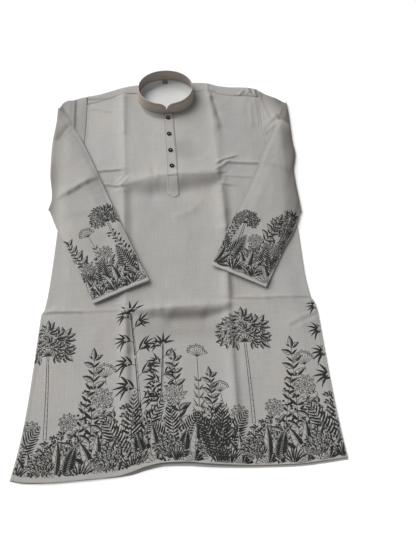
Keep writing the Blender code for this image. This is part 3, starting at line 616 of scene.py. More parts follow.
@cache
def slub_group():
    """Group 'Slub weave': uneven warp and weft threads, cloudy patches, fleck, height."""
    tree = bpy.data.node_groups.new("Slub weave", "ShaderNodeTree")
    for label in ("Vector", "Slub", "Crumple", "Shade", "Patch", "Height"):
        way = "INPUT" if label in ("Vector", "Slub", "Crumple") else "OUTPUT"
        kind = "NodeSocketVector" if label == "Vector" else "NodeSocketFloat"
        tree.interface.new_socket(label, in_out=way, socket_type=kind)
    ins = add_node(tree, "NodeGroupInput").outputs
    vector = ins["Vector"]
    warp = streaks(tree, vector, (520.0, 24.0, 1.0), 2.0, (3.1, 7.7, 0.0))
    weft = streaks(tree, vector, (28.0, 560.0, 1.0), 2.0, (9.2, 1.3, 4.0))
    broad_warp = streaks(tree, vector, (150.0, 9.0, 1.0), 1.0, (5.5, 2.1, 8.0))
    broad_weft = streaks(tree, vector, (11.0, 160.0, 1.0), 1.0, (1.5, 6.1, 2.0))
    fleck = streaks(tree, vector, (1300.0, 1300.0, 1.0), 1.0, (0.0, 0.0, 0.0))
    fine = do_math(tree, "ADD", warp, weft)
    threads = do_math(tree, "MULTIPLY_ADD", do_math(tree, "ADD", broad_warp, broad_weft), 0.25, fine)
    threads = do_math(tree, "MULTIPLY_ADD", fleck, 0.5, threads)
    soft = noise_of(tree, vector, 26.0, 4.0, 0.6)
    raised = do_math(tree, "MULTIPLY", fine, 0.12)
    add_node(tree, "NodeGroupOutput", {
        "Shade": do_math(tree, "MULTIPLY", threads, ins["Slub"]),
        "Patch": noise_of(tree, vector, 9.0, 3.0),
        "Height": do_math(tree, "MULTIPLY_ADD", soft, ins["Crumple"], raised),
    })
    return tree


def new_material(name):
    """Empty node material, its tree and its Principled shader."""
    mat = bpy.data.materials.new(name)
    mat.use_nodes = True
    return mat, mat.node_tree, mat.node_tree.nodes["Principled BSDF"]


def woven(name, cool, warm, slub, crumple, rough, sheen, depth):
    """Cloth: two tones in patches, slub streaks, painted shade from its per-point value, woven bump."""
    mat, tree, shader = new_material(name)
    cut = add_node(tree, "ShaderNodeUVMap", uv_map="cut").outputs[0]
    inputs = {"Vector": cut, "Slub": slub, "Crumple": crumple}
    weave = add_node(tree, "ShaderNodeGroup", inputs, node_tree=slub_group()).outputs
    tone = two_tones(tree, weave["Patch"], 0.3, 0.7, cool, warm)
    # Painted shade: the per-point value darkens the colour towards the shade tone.
    dim = blend_colours(tree, "MIX", value_of(tree, "painted_shade"), (1, 1, 1, 1), PAINTED_SHADE_TONE)
    light = do_math(tree, "ADD", weave["Shade"], 1.0)
    grey = add_node(tree, "ShaderNodeCombineColor", {0: light, 1: light, 2: light}).outputs[0]
    shaded = blend_colours(tree, "MULTIPLY", 1.0, tone, dim)
    feed(tree, shader, {
        "Base Color": blend_colours(tree, "MULTIPLY", 1.0, shaded, grey),
        "Roughness": do_math(tree, "MULTIPLY_ADD", weave["Shade"], 0.3, rough),
        "Normal": bump_of(tree, weave["Height"], 0.6, depth),
        "Specular IOR Level": 0.2, "Sheen Weight": sheen, "Sheen Roughness": 0.5,
    })
    return mat


def speckled(name, dark, light, scale, rough, sheen=0.0):
    """Thread or ink: one colour broken by fine noise, with a matching bump."""
    mat, tree, shader = new_material(name)
    noise = noise_of(tree, add_node(tree, "ShaderNodeTexCoord").outputs["Object"], scale, 3.0)
    feed(tree, shader, {
        "Base Color": two_tones(tree, noise, 0.3, 0.7, dark, light),
        "Roughness": do_math(tree, "MULTIPLY_ADD", noise, 0.1, rough),
        "Normal": bump_of(tree, noise, 0.2, 0.0002),
        "Specular IOR Level": 0.25, "Sheen Weight": sheen,
    })
    return mat


def horn(name, eye, rim):
    """Button: near-black rim that turns brown towards the middle, with faint clouding."""
    mat, tree, shader = new_material(name)
    noise = noise_of(tree, add_node(tree, "ShaderNodeTexCoord").outputs["Object"], 420.0, 3.0, 1.2)
    edge = do_math(tree, "MULTIPLY_ADD", noise, 0.16, value_of(tree, "reach"))
    feed(tree, shader, {
        "Base Color": two_tones(tree, edge, 0.24, 0.36, eye, rim),
        "Roughness": do_math(tree, "MULTIPLY_ADD", noise, 0.2, 0.5),
        "Normal": bump_of(tree, noise, 0.15, 0.0002),
        "Specular IOR Level": 0.07,
    })
    return mat


def plain(name, colour):
    """Floor: one pale colour with hardly any clouding."""
    mat, tree, shader = new_material(name)
    noise = noise_of(tree, add_node(tree, "ShaderNodeTexCoord").outputs["Object"], 2.0, 2.0)
    tone = blend_colours(tree, "MIX", noise, (*dimmed(colour, 0.985), 1), (*colour, 1))
    feed(tree, shader, {"Base Color": tone, "Roughness": 0.9, "Specular IOR Level": 0.1})
    return mat


def dimmed(colour, share):
    """The colour at a share of its light."""
    return [share * value for value in colour]


@cache
def finish_of(name):
    """Material of this name, made from the sidebar's colours when it is first asked for."""
    scene = bpy.context.scene
    cloth, trim, ink = scene.kurta_cloth, scene.kurta_trim, scene.kurta_print
    stitched = trim.button_thread
    make, *values = {
        "Melange slub cloth": (woven, cloth.cool, cloth.warm, cloth.slub, cloth.crumple, 0.86, 0.06, 0.0007),
        "Collar cloth": (woven, cloth.band, cloth.band_warm, 0.16, 0.5, 0.86, 0.05, 0.0004),
        "Pale lining": (woven, cloth.lining, cloth.lining_warm, 0.16, 0.8, 0.88, 0.04, 0.0006),
        "Label tape": (woven, cloth.label, cloth.label, 0.35, 0.2, 0.75, 0.05, 0.0003),
        "Sewing thread": (speckled, dimmed(trim.thread, 0.7), trim.thread, 900.0, 0.55, 0.1),
        "Button thread": (speckled, dimmed(stitched, 0.7), stitched, 1200.0, 0.55),
        "Printed ink": (speckled, ink.worn, ink.colour, 90.0, 0.8),
        "Dark horn": (horn, trim.button_eye, trim.button_rim),
        "Pale floor": (plain, scene.kurta_stage.floor),
    }[name]
    return make(name, *values)


# --- body of cloth


def guide_pair(y, pick):
    """x of the guide lines to the left and right of a place, and the number of the left one."""
    lines = np.stack([line(y) for line in GUIDE_LINES])
    low = np.clip(pick(lines), 0, len(GUIDE_LINES) - 2)
    return *(np.take_along_axis(lines, low[None] + step, 0)[0] for step in (0, 1)), low


def across_x(position, y):
    """x between the guide lines at height y: position 0 is the left edge and 7 the right one."""
    position, y = np.broadcast_arrays(position, np.asarray(y, float))
    first, second, low = guide_pair(y, lambda lines: position.astype(int))
    return first * (1 - position + low) + second * (position - low)


def position_of(x, y):
    """Guide position of points on the body, the inverse of across_x."""
    first, second, low = guide_pair(y, lambda lines: (lines <= x).sum(axis=0) - 1)
    return low + (x - first) / (second - first)


def packed(low, high, cells, spots):
    """Steps from low to high, closer near each spot (place, gain, reach)."""
    fine = np.linspace(low, high, 2001)
    density = 1 + sum(gain * bell(fine - place, reach) for place, gain, reach in spots) + 0 * fine
    total = np.r_[0, np.cumsum((density[1:] + density[:-1]) / 2)]
    return np.interp(np.linspace(0, total[-1], cells + 1), total, fine)


def settle(y, level):
    """Heights where upright lines meet a level line: y = level(y), five times over."""
    for _ in range(5):
        y = level(y)
    return y


# Level lines of the front's rows, as heights over x: hem, its turn, hips, chest, bust.
LEVELS = (
    hem_front,
    lambda x: hem_front(x) + HEM_TURN,
    lambda x: np.interp(x, (-283, -110, 122, 299), (353, 343, 350, 361)),
    lambda x: np.interp(x, (-255, -107, -6, 118, 290), (722, 700, 705, 712, 735)),
    lambda x: np.full_like(x, YOKE_BACK_Y),
)
BANDS = (
    # cells up to the next level, and where they lie closer, as shares of the band
    (5, ()), (72, ((1.0, 1.4, 0.1),)), (88, ((0.0, 1.4, 0.06), (1.0, 1.6, 0.2))),
    (48, ((0.0, 1.6, 0.3),)), (28, ((1.0, 0.8, 0.3),)),
)


def front_grid():
    """Plan of the front: even columns that bend, near the top, to meet the neck's own points."""
    left = np.r_[packed(0, 1, 46, ((1, 1.6, 0.12),)), packed(1, 2, 12, ((1, 1.4, 0.5),))[1:]]
    right = np.r_[packed(5, 6, 13, ((6, 1.0, 0.6),)), packed(6, 7, 42, ((6, 1.6, 0.12),))[1:]]
    tops = [
        settle(np.full(columns.shape, 980.0), lambda y: shoulder_seam(across_x(columns, y))) - SEAM / 2
        for columns in (left, right)
    ]
    angles = np.linspace(168, 372, 61)
    ring_x, ring_y = ring_point(RING, angles, SEAM)
    high_side = np.maximum(180 - angles, angles - 360)
    reach = RING["half_x"] + SEAM + np.maximum(high_side, 0) * 0.09
    ring_x = np.where(high_side > 0, RING["x"] + np.where(angles < 270, -reach, reach), ring_x)
    even = np.r_[left, 2 + 3 * np.linspace(0, 1, 63)[1:-1], right]
    high = np.r_[left, position_of(ring_x, ring_y), right]

    def column_x(y):
        return across_x(even + (high - even) * ease((y - 780) / 130), y)

    start = np.full(even.shape, 300.0)
    levels = [settle(start, lambda y: level(column_x(y))) for level in LEVELS]
    levels.append(np.r_[tops[0], ring_y, tops[1]])
    rows = [levels[0]]
    for (cells, spots), low, up in zip(BANDS, levels[:-1], levels[1:]):
        rows += [low * (1 - share) + up * share for share in packed(0, 1, cells, spots)[1:]]
    return np.stack([column_x(row) for row in rows]), np.stack(rows)


def collar_shade(x, y):
    """Crescent of shade at the collar's foot: inside the neck oval slid down, but off the oval itself."""
    foot = from_neck(x, y) - RING["half_x"]
    slid = 72.0 - from_neck(x, y, 4.0, 26.0)
    return 0.52 * ease(slid / 4.0 + 0.5) * ease(foot / 12.0) * ease((56 - x) / 40)


def slit_shade(x, y):
    """Shade along the stitching of the side slits."""
    return SLIT["dark"] * bell(from_side(x, y) - SLIT["sewn"], 1.6) * (y < SLIT["top"])


def painted_shade_of(x, y):
    """Painted shade of a point of the front, 0 to 1: at its slits, hem turn and seams, in shaded patches,
    round the lit chest, at the collar's foot and along its rolled folds.
    """
    # Painted shade along the hem's turn and under the yoke seams.
    turn = 0.3 * bell(y - hem_front(x) - HEM_TURN, 1.8)
    seam = 0.5 * bell(y - shoulder_seam(x) + 2.4, 1.5) * (1.0 * (x < -70) + 0.45 * (x > 80))
    # Painted shade in patches and at the collar's foot; painted light on the chest, with painted shade all
    # round it.
    darkening = patches(x, y, SHADE_PATCHES) + collar_shade(x, y) + LIT_CHEST[4] - patches(x, y, [LIT_CHEST])
    return np.clip(slit_shade(x, y) + turn + seam + darkening + rolled_dark(x, y, ROLLS), 0, 1)


def build_front():
    """Front: the relief surface z = f(x, y), its sides and hem rolled down."""
    x, y = front_grid()
    grid = layers(x, y, front_top(x, y))
    grid[:, 0, 0] += SEAM
    grid[:, -1, 0] -= SEAM
    radius = 1.25 - 0.8 * ease((grid[:, :1, 1:2] - 740) / 20)
    grid = roll_side(roll_side(grid, 0, radius, -1), 1, radius, -1)
    grid = roll_low(grid, 0.7, -1)
    inner = grid - normals_of(grid) * cloth_wall()
    painted_shade = painted_shade_of(grid[..., 0], grid[..., 1])
    piece = add_shell("Front_cloth", grid, inner, ["Melange slub cloth"], grid[..., :2], painted_shade)
    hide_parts("front_panel")
    return piece


def build_back():
    """Back: flat on the floor up to the yoke seam, its sides and hem rolled up."""
    share = np.linspace(0, 1, 97)
    rise = np.linspace(0, 1, 131)[:, None]
    low = hem_back(left_edge(0) + share * (right_edge(0) - left_edge(0)))
    y = low * (1 - rise) + (YOKE_BACK_Y - SEAM) * rise
    x = left_edge(y) + SEAM + share * (right_edge(y) - left_edge(y) - 2 * SEAM)
    grid = layers(x, y, FLOOR_GAP)
    grid = roll_low(roll_side(roll_side(grid, 0, 1.1, 1), 1, 1.1, 1), 0.6, 1)
    inner = grid + normals_of(grid) * cloth_wall()
    painted_shade = slit_shade(grid[..., 0], grid[..., 1])
    piece = add_shell("Back_cloth", grid, inner, ["Melange slub cloth"], grid[..., :2], painted_shade)
    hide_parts("back_panel")
    return piece


def beside_ring(x, y):
    """Draw the flaps of the yoke in to the foot of the collar: the last 38 mm stretch to meet it."""
    ring_x, ring_y = ring_point(RING, np.linspace(90, 180, 91), SEAM)
    reach = np.interp(y, ring_y[::-1], (RING["x"] - ring_x)[::-1])
    x = np.where((x > -90) & (x < 5), -90 + (x + 90) * (RING["x"] - reach + 90) / 38.0, x)
    return np.where((x < 100) & (x > 5), 100 - (100 - x) * (100 - RING["x"] - reach) / 38.0, x)


def yoke_top(x, y, fall, lift=1.0, wave=1.0):
    """Top face of the yoke's flaps; fall is the way down from the shoulder."""
    small = ease(fall / 6.0) * small_creases(x, y, YOKE_WRINKLES, YOKE_ROLLS)
    return TOP + body_relief(x, y) + 0.9 * lift + small + 0.3 * ripple(x, y) * wave


def build_yoke():
    """Yoke: flat under the neck, round both shoulder folds and down to the forward seams.

    The path of each column runs up the floor, round a half circle and back over the
    front; over the neck the path stops at the lip that carries the collar.
    """
    left, right = NECK["left"], NECK["right"]
    strips = ((-207, -90, 38), (-90, left, 18), (left, right, 34), (right, 100, 18), (100, 254, 50))
    xs = np.r_[-207.0, np.concatenate([np.linspace(a, b, cells + 1)[1:] for a, b, cells in strips])]
    rel = np.clip((xs - LIP["x"]) / LIP["half_x"], -1, 1)
    lip = LIP["y"] + LIP["half_y"] * np.sqrt(1 - rel**2)
    radius = TUBE / 2
    end = np.where((xs <= left) | (xs >= right), shoulder_edge(xs) - radius, lip)
    rows = [layers(xs, YOKE_BACK_Y + (end - YOKE_BACK_Y) * t, FLOOR_GAP) for t in np.linspace(0, 1, 36)]
    flat_rows = len(rows)
    for angle in np.radians((22, 45, 67, 90, 112, 135, 158, 180)):
        z = max(radius - radius * math.cos(angle), FLOOR_GAP)
        rows.append(layers(xs, end + radius * math.sin(angle), z))
    stop = shoulder_seam(xs) - 2.0
    for t in np.linspace(0, 1, 19)[1:]:
        y = end + (stop - end) * t
        x = beside_ring(xs, y)
        rows.append(layers(x, y, yoke_top(x, y, end - y, ease(t / 0.25), ease(t / 0.3))))
    rows.append(rows[-1] - (0, 0.5, 0.25))
    rows.append(rows[-1] - (0, 0.2, 0.4))
    grid = np.stack(rows)
    level = np.minimum(grid[..., 1], float(np.min(shoulder_seam(xs[[0, -1]]))))
    grid[:, 0, 0] = (left_edge(level) + SEAM)[:, 0]
    grid[:, -1, 0] = (right_edge(level) - SEAM)[:, -1]
    inner = grid + normals_of(grid) * cloth_wall()
    inner[..., 2] = np.maximum(inner[..., 2], FLOOR_GAP)
    present = np.ones((grid.shape[0] - 1, grid.shape[1] - 1), bool)
    present[flat_rows - 1 :, (xs[:-1] >= left) & (xs[1:] <= right)] = False
    path = np.cumsum(np.linalg.norm(np.diff(grid, axis=0, prepend=grid[:1]), axis=2), axis=0)
    x, y = grid[..., 0], grid[..., 1]
    upper = np.arange(grid.shape[0])[:, None] > flat_rows + 5
    # On the lining inside the neck: a darker strip round the back, shaped as the collar's shadow slid down,
    # partly a neck facing's own tone and partly painted shadow of the collar.
    facing_and_shadow = from_neck(x, y, 0.0, 22.0) - 70.0
    strip = ease(facing_and_shadow / 6.0 + 0.5) * ease((1038 - y) / 2)
    # The lining is painted darker towards the right and kept light on the left, where the band's real shadow
    # falls: painted shade and painted light; painted shade at the sides.
    tone = 0.42 * ease((x + 56) / 70)
    tone = tone + (0.55 - 0.45 * np.clip(facing_and_shadow / 20, 0, 1) - tone) * strip
    side = from_side(x, level)
    tone = np.where(side < 4, 0.95, tone)
    # Outside: darker overall and more to the right, with painted shade along the yoke's rolled folds and at
    # its sides.
    outer = 0.20 + upper * (0.05 * ease((x - 60) / 60) + rolled_dark(x, y, YOKE_ROLLS))
    outer = np.where(side < 1, 0.9, outer)
    painted_shade = (outer, np.where(upper, outer, tone))
    finishes = ["Melange slub cloth", "Pale lining"]
    piece = add_shell("Yoke_cloth", grid, inner, finishes, layers(x, YOKE_BACK_Y + path), painted_shade, present)
    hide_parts("yoke")
    return piece


# --- sleeves


def reach_of(points):
    """Distance from the start of a path to each of its points."""
    return np.r_[0, np.cumsum(np.linalg.norm(np.diff(points, axis=0), axis=1))]


def pick(places, reach, points):
    """Rows of numbers at places between those of a table whose rows stand at reach."""
    return np.stack([np.interp(places, reach, column) for column in np.asarray(points).T], -1)


@cache
def sleeve_plan(name):
    """The fold of one sleeve: its two ends, its outward normal, and where the flat cuff's ends lie."""
    spec = SLEEVES[name]
    vertex, elbow = np.array(spec["top"][-1], float), np.array(spec["under"][-1], float)
    along = unit(elbow - vertex)
    normal = spec["side"] * np.array((-along[1], along[0]))
    cuffs = []
    for key in ("cuff_in", "cuff_out"):
        place = np.array(spec[key], float)
        cuffs.append(place - 2 * ((place - vertex) @ normal) * normal + FOLD_ARC * normal)
    return vertex, elbow, normal, cuffs


def sleeve_ends(name, stage):
    """Top and underarm ends of the flat sleeve: stage 0-1 to the fold, 1-2 the turn, 2-3 to the cuff."""
    spec = SLEEVES[name]
    vertex, elbow, normal, cuffs = sleeve_plan(name)
    first, turn, last = (np.clip(stage - start, 0, 1) for start in (0, 1, 2))
    bends = lines_of(((0, 0, 0), *spec["bend"], (1, 0, 0)))
    arc = FOLD_ARC * normal
    ends = []
    for key, corner, cuff, bend in zip(("top", "under"), (vertex, elbow), cuffs, bends):
        run = corner + turn[:, None] * arc + (cuff - corner - arc) * last[:, None]
        run = run + (bend(last) * (stage > 2))[:, None] * normal
        reach = reach_of(spec[key])
        ends.append(np.where((stage < 1)[:, None], pick(first, reach / reach[-1], spec[key]), run))
    return ends


@cache
def cover_map(reach, blur):
    """Smooth sheet over the front's relief: the highest within reach cells, then a bell of blur cells."""
    x, y = np.meshgrid(
        np.arange(COVER["x"], 1 - COVER["x"], COVER["cell"]),
        np.arange(COVER["y"], COVER["top"] + 1, COVER["cell"]),
    )
    rise = np.where(from_side(x, y) > 0, front_rise(x, y), 0.0)
    for axis in (0, 1):
        rise = np.max([np.roll(rise, step, axis) for step in range(-reach, reach + 1)], axis=0)
    weights = np.exp(-((np.arange(-3 * blur, 3 * blur + 1) / blur) ** 2) / 2)
    for axis in (0, 1):
        rise = np.apply_along_axis(np.convolve, axis, rise, weights / weights.sum(), "same")
    return rise


def front_cover(x, y, sheet):
    """Height of a cover map at a place, drawn straight between its cells."""
    column = np.clip((x - COVER["x"]) / COVER["cell"], 0, sheet.shape[1] - 1.01)
    row = np.clip((y - COVER["y"]) / COVER["cell"], 0, sheet.shape[0] - 1.01)
    i, j = row.astype(int), column.astype(int)
    u, v = column - j, row - i
    low = sheet[i, j] * (1 - u) + sheet[i, j + 1] * u
    high = sheet[i + 1, j] * (1 - u) + sheet[i + 1, j + 1] * u
    return low * (1 - v) + high * v


def sleeve_puff(name, across, away, left, x, y):
    """Air in the tube and its creases, zero at its edges and at the armhole, low at the cuff."""
    share = ease(1.8 * away) * (0.12 + 0.88 * ease(left / 0.3))
    side = np.minimum(across, 1 - across)
    small = small_creases(x, y, SLEEVE_WRINKLES[name], SLEEVE_ROLLS[name]) + ripple(y, x)
    puff = ease(side / 0.3) * (SLEEVE_LOFT + pressed_height(x, y, SLEEVE_FOLDS[name]))
    return share * (puff + ease(side / 0.07) * small)


def fold_sleeve(name, points):
    """Carry the flat tube through its fold.

    Each point has its flat place, its height z, its share across, its share away from the
    armhole and its share left before the cuff. s is its distance past the fold line, which
    is turned through the angle s / radius; the part beyond lies on the front's cover.
    """
    vertex, _, normal, _ = sleeve_plan(name)
    flat, (z, across, away, left) = points[..., :2], np.moveaxis(points[..., 2:], -1, 0)
    s = (flat - vertex) @ normal
    past = np.maximum(s - FOLD_ARC, 0.0)
    turn = np.clip(s / FOLD_RADIUS, 0.0, math.pi)
    shift = np.where(s < 0, s, (FOLD_RADIUS - z) * np.sin(turn))
    shift = np.where(s > FOLD_ARC, FOLD_ARC - s, shift)
    bow = lines_of(SLEEVES[name]["bow"])[0](across) * ease(away)
    shift = shift + bow * bell(s - FOLD_ARC / 2, BOW_REACH)
    place = flat + (shift - s)[..., None] * normal
    x, y = place[..., 0], place[..., 1]
    gone = ease((s - FOLD_ARC) / 45.0)
    depth = (TUBE - z) / TUBE
    puff = sleeve_puff(name, across, away, left, x, y)
    level = ease(1.25 - left / 0.16)
    cover = front_cover(x, y, cover_map(4, 2)) * (1 - level) + front_cover(x, y, cover_map(12, 8)) * level
    lift = (cover + SLEEVE_CLEAR - 0.7 * SLEEVE_CLEAR * (1 - ease(left / 0.2))) * gone
    rise, reach, _, _ = SLEEVE_EDGE[name]
    domed = np.sqrt(1 - np.clip(1 - past / reach, 0, 1) ** 2) * bell(np.maximum(past - reach, 0), 150.0)
    domed = rise * domed * ease(np.minimum(across, 1 - across) / 0.12) * ease(left / 0.3)
    height = FOLD_RADIUS - (FOLD_RADIUS - z) * np.cos(turn)
    height = height + np.where(s > FOLD_ARC, lift + (puff * gone + domed) * depth, 0.0)
    height = height + np.where(s < 0, puff * ease(-s / 25.0) * (1 - depth), 0.0)
    return np.concatenate([place, height[..., None]], axis=-1)


def sleeve_dark(name, points, across):
    """Painted shade of the folded cloth: along its rolled folds, towards the outer fold and in patches, over
    an even darkening of the whole sleeve.
    """
    vertex, _, normal, _ = sleeve_plan(name)
    x, y = points[..., 0], points[..., 1]
    past = np.abs((points[..., :2] - vertex) @ normal)
    _, reach, dark, darkening = SLEEVE_EDGE[name]
    total = darkening + rolled_dark(x, y, SLEEVE_ROLLS[name]) + dark * bell(past, 0.72 * reach, 1.6)
    total = total + patches(x, y, SLEEVE_SHADE_PATCHES[name])
    # Painted shade on the right sleeve: over the flap turned under at the shoulder and along the fold's top
    # edge, less round y 880.
    if name == "sleeve_right":
        inside = np.full(x.shape, 100.0)
        for first, second in zip(SLEEVE_FLAP, SLEEVE_FLAP[1:] + SLEEVE_FLAP[:1]):
            inside = np.minimum(inside, from_line(x, y, first + second)[0])
        total = total * (1 - 0.5 * bell(y - 880, 40.0, 4)) + ease(inside / 3.0 + 0.5)
        total = total + 0.26 * bell(across, 0.10) * (past > 12)
    return total


def sleeve_loop(name, stage, wall):
    """Loops round the flattened tube at each stage, wall mm inside its surface, folded into place."""
    top, under = (end[:, None] for end in sleeve_ends(name, stage))
    width = np.linalg.norm(under - top, axis=2)
    corner = TUBE / 2
    radius = corner - wall
    inset = corner / width
    low = inset + np.linspace(0, 1, 75)[None] * (1 - 2 * inset)
    angles = np.radians((30, 60, 90, 120, 150))[None]
    out = radius / width * np.sin(angles)
    across = np.concatenate([low, 1 - inset + out, low[:, ::-1], inset - out], axis=1)
    bend = corner - radius * np.cos(angles)
    flat = np.ones((1, low.shape[1]))
    z = np.concatenate([flat * wall, bend, flat * (TUBE - wall), bend[:, ::-1]], axis=1)
    place = top * (1 - across[..., None]) + under * across[..., None]
    fade = np.interp(stage, (0, 0.3, 0.65, 1.0), (1, 0.667, 0.333, 0))[:, None]
    first = top[:1] * (1 - across[..., None]) + under[:1] * across[..., None]
    edge = left_edge if SLEEVES[name]["side"] < 0 else right_edge
    place[..., 0] += (edge(first[..., 1]) - first[..., 0]) * fade
    left = 1 - np.clip(stage - 2, 0, 1)[:, None]
    points = np.concatenate([place, layers(z, across, 1 - fade, left)], axis=-1)
    return fold_sleeve(name, points), place, across


def build_sleeve(name):
    """One sleeve: a flattened tube from the armhole, folded over the front, open at the cuff."""
    spec = SLEEVES[name]
    stage = np.r_[np.linspace(0, 1, 26)[:-1], np.linspace(1, 2, 9)[:-1], np.linspace(2, 3, 151)]
    outer, flat, across = sleeve_loop(name, stage, 0.0)
    inner = sleeve_loop(name, stage, cloth_wall())[0]
    start = (np.array(spec["top"][0], float) + spec["under"][0]) / 2
    axis = unit(sum(sleeve_plan(name)[3]) / 2 - start)
    uv = layers(flat @ np.array((-axis[1], axis[0])) + 900.0 * spec["side"], flat @ axis + 300.0)
    from_cuff = ((stage[-1] - stage) * 440.0)[:, None] * np.ones(across.shape)
    # Painted shade along the cuff's stitching, little on the cuff itself.
    painted_shade = np.clip(0.20 * bell(from_cuff - 11.0, 1.6) + sleeve_dark(name, outer, across), 0, 1)
    painted_shade = painted_shade * (1 - 0.8 * bell(from_cuff, 9.0, 4))
    title = f"{name.capitalize()}_cloth"
    piece = add_shell(title, outer, inner, ["Melange slub cloth"], uv, painted_shade, closed=True)
    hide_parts(name)
    return piece


# --- collar, placket, label


def collar_angles(count):
    """Angles round the band from its right front end, over the back, to its left one."""
    span = math.degrees(BAND["gap"] / 2 / RING["half_x"])
    return np.linspace(-90 + span, 270 - span, count)


def collar_height(degrees):
    """Height of the band, and the distance along it from its nearer front end."""
    from_front = np.abs(np.abs(degrees - 90) - 180)
    reach = np.radians(from_front) * RING["half_x"] - BAND["gap"] / 2
    share = np.clip(1 - reach / BAND["corner"], 0.0, 1.0)
    return BAND["height"] - (BAND["height"] - BAND["low"]) * (1 - np.sqrt(1 - share**2)), reach


def collar_point(degrees, up, grow):
    """Point of the band's face: the base oval blends into the top one, with a slight bulge between."""
    high = up * collar_height(degrees)[0]
    grow = grow + BAND["bulge"] * np.sin(math.pi * np.clip(up, 0, 1))
    share = high / BAND["height"]
    low, top = ring_point(RING, degrees, grow), ring_point(RING_TOP, degrees, grow)
    x, y = (a * (1 - share) + b * share for a, b in zip(low, top))
    return layers(x, y, CLOTH + SEAM + high)


def build_collar():
    """Collar: a closed section, up the outside, over the top edge and down the inside, round the neck."""
    degrees = collar_angles(241)
    degrees[1:-1] = 90 + (degrees - 90)[1:-1] * (1 - 0.04 * np.cos(np.radians(degrees - 90) / 2) ** 2)[1:-1]
    wall = BAND["wall"]
    ups = np.array((0, 0.08, 0.2, 0.35, 0.5, 0.65, 0.8, 0.9, 0.955))
    turn = np.radians((45, 90, 135))
    side = np.r_[np.zeros(len(ups)), (1 - np.cos(turn)) / 2, np.ones(len(ups))]
    up = np.r_[ups, 0.97 + 0.03 * np.sin(turn), ups[::-1]]
    reach = collar_height(degrees)[1][:, None]
    plump = 0.7 + 0.3 * np.sqrt(1 - np.clip(1 - reach / 1.6, 0, 1) ** 2)
    points = collar_point(degrees[:, None], up[None], wall * ((0.5 - side)[None] * plump - 0.5))
    rows, loop = points.shape[:2]
    half = np.arange(loop // 2)
    cap = np.stack([half[:-1], half[1:], loop - 2 - half[:-1], loop - 1 - half[:-1]], 1)
    flat = points.reshape(-1, 3)
    faces = facing_out(flat, tube_faces(rows, loop, cap))
    listed = [list(dict.fromkeys(face)) for face in faces.tolist()]
    high = up * BAND["height"]
    uv = layers(reach_of(points[:, 0])[:, None] + 1400, (high + side * 60)[None])
    # Painted shade along the stitching under the band's top edge and at its foot.
    painted_shade = 0.5 * bell(BAND["height"] - high - 3.0, 1.0) + 0.7 * bell(high - 0.8, 1.2)
    painted_shade = {"painted_shade": np.tile(np.clip(painted_shade, 0, 1), rows)}
    piece = add_piece("Collar_cloth", flat, listed, ["Collar cloth"], uv.reshape(-1, 2), values=painted_shade)
    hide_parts("collar_band")
    return piece


def placket_tip(share):
    """Lower edge of the placket: a point in the middle."""
    return PLACKET["end"] + (PLACKET["point"] - PLACKET["end"]) * (1 - np.abs(2 * share - 1))


def placket_place(share, y):
    """x at a share across the placket."""
    return across_x(3 + share, y)


def placket_top(x, y, share):
    """Upper face of the placket: the front's face plus its plies, thinner at the pressed edges."""
    side = np.minimum(share, 1 - share) * PLACKET["width"]
    plump = ease(side / 1.6) * ease((y - placket_tip(share)) / 1.6)
    return front_top(x, y) + 0.35 + 0.9 * plump - 0.25 * bell(y - PLACKET["bar"], 1.0)


def build_placket():
    """Placket: two plies with a pointed lower end, a slab between the front's face and its own."""
    share = np.r_[0, 0.012, 0.03, 0.06, np.linspace(0.1, 0.9, 13), 0.94, 0.97, 0.988, 1][None]
    rise = np.r_[0, 0.001, 0.0025, 0.005, np.linspace(0.01, 1, 130)][:, None]
    tip = placket_tip(share)
    neck_x, neck_y = ring_point(RING, np.linspace(180, 360, 721), SEAM)
    top = np.interp(placket_place(share, 900.0), neck_x, neck_y) - SEAM
    y = tip + (top - tip) * rise
    x = placket_place(share, y)
    side = np.minimum(share, 1 - share) * PLACKET["width"]
    # Painted shade along the edge stitching, the bar and the point, at the pressed edges, a little all over,
    # and the collar's painted shadow.
    painted_shade = 0.44 * bell(side - 2.4, 0.9) + 0.48 * bell(y - PLACKET["bar"], 1.3) + 0.15 * (side < 0.4)
    painted_shade = np.clip(0.10 + collar_shade(x, y) + painted_shade + 0.4 * bell(y - tip - 2.2, 0.9), 0, 1)
    grid, under = layers(x, y, placket_top(x, y, share)), layers(x, y, front_top(x, y) + 0.12)
    uv = grid[..., :2] + (37.0, 11.0)
    piece = add_shell("Placket_cloth", grid, under, ["Melange slub cloth"], uv, painted_shade)
    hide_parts("placket")
    return piece


def build_label():
    """Label: a blank scrap of woven tape, its free edge lifted a little."""
    u, v = np.meshgrid(np.linspace(0, 1, 13), np.linspace(0, 1, 11))
    x = LABEL["x0"] + SEAM + u * (LABEL["x1"] - LABEL["x0"] - 2 * SEAM)
    y = LABEL["y0"] + SEAM + v * (LABEL["y1"] - LABEL["y0"] - 2 * SEAM)
    grid = layers(x, y, CLOTH + SEAM + 0.35 + 0.5 * (1 - v) ** 2 + 0.12 * np.sin(u * 7 + 1))
    # Painted shade along the label's top and bottom edges.
    painted_shade = 0.5 * (np.minimum(v, 1 - v) < 0.06)
    piece = add_shell("Neck_label", grid, grid - (0, 0, 0.3), ["Label tape"], grid[..., :2], painted_shade)
    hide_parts("neck_label")
    return piece


# --- buttons and stitches


def button_seat(cx, cy):
    """Height of the placket's face under a button: the highest of nine spots."""
    spots = np.linspace(-5.5, 5.5, 3)
    x, y = np.meshgrid(cx + spots, cy + spots)
    return float(placket_top(x, y, 0.5).max()) + 0.15


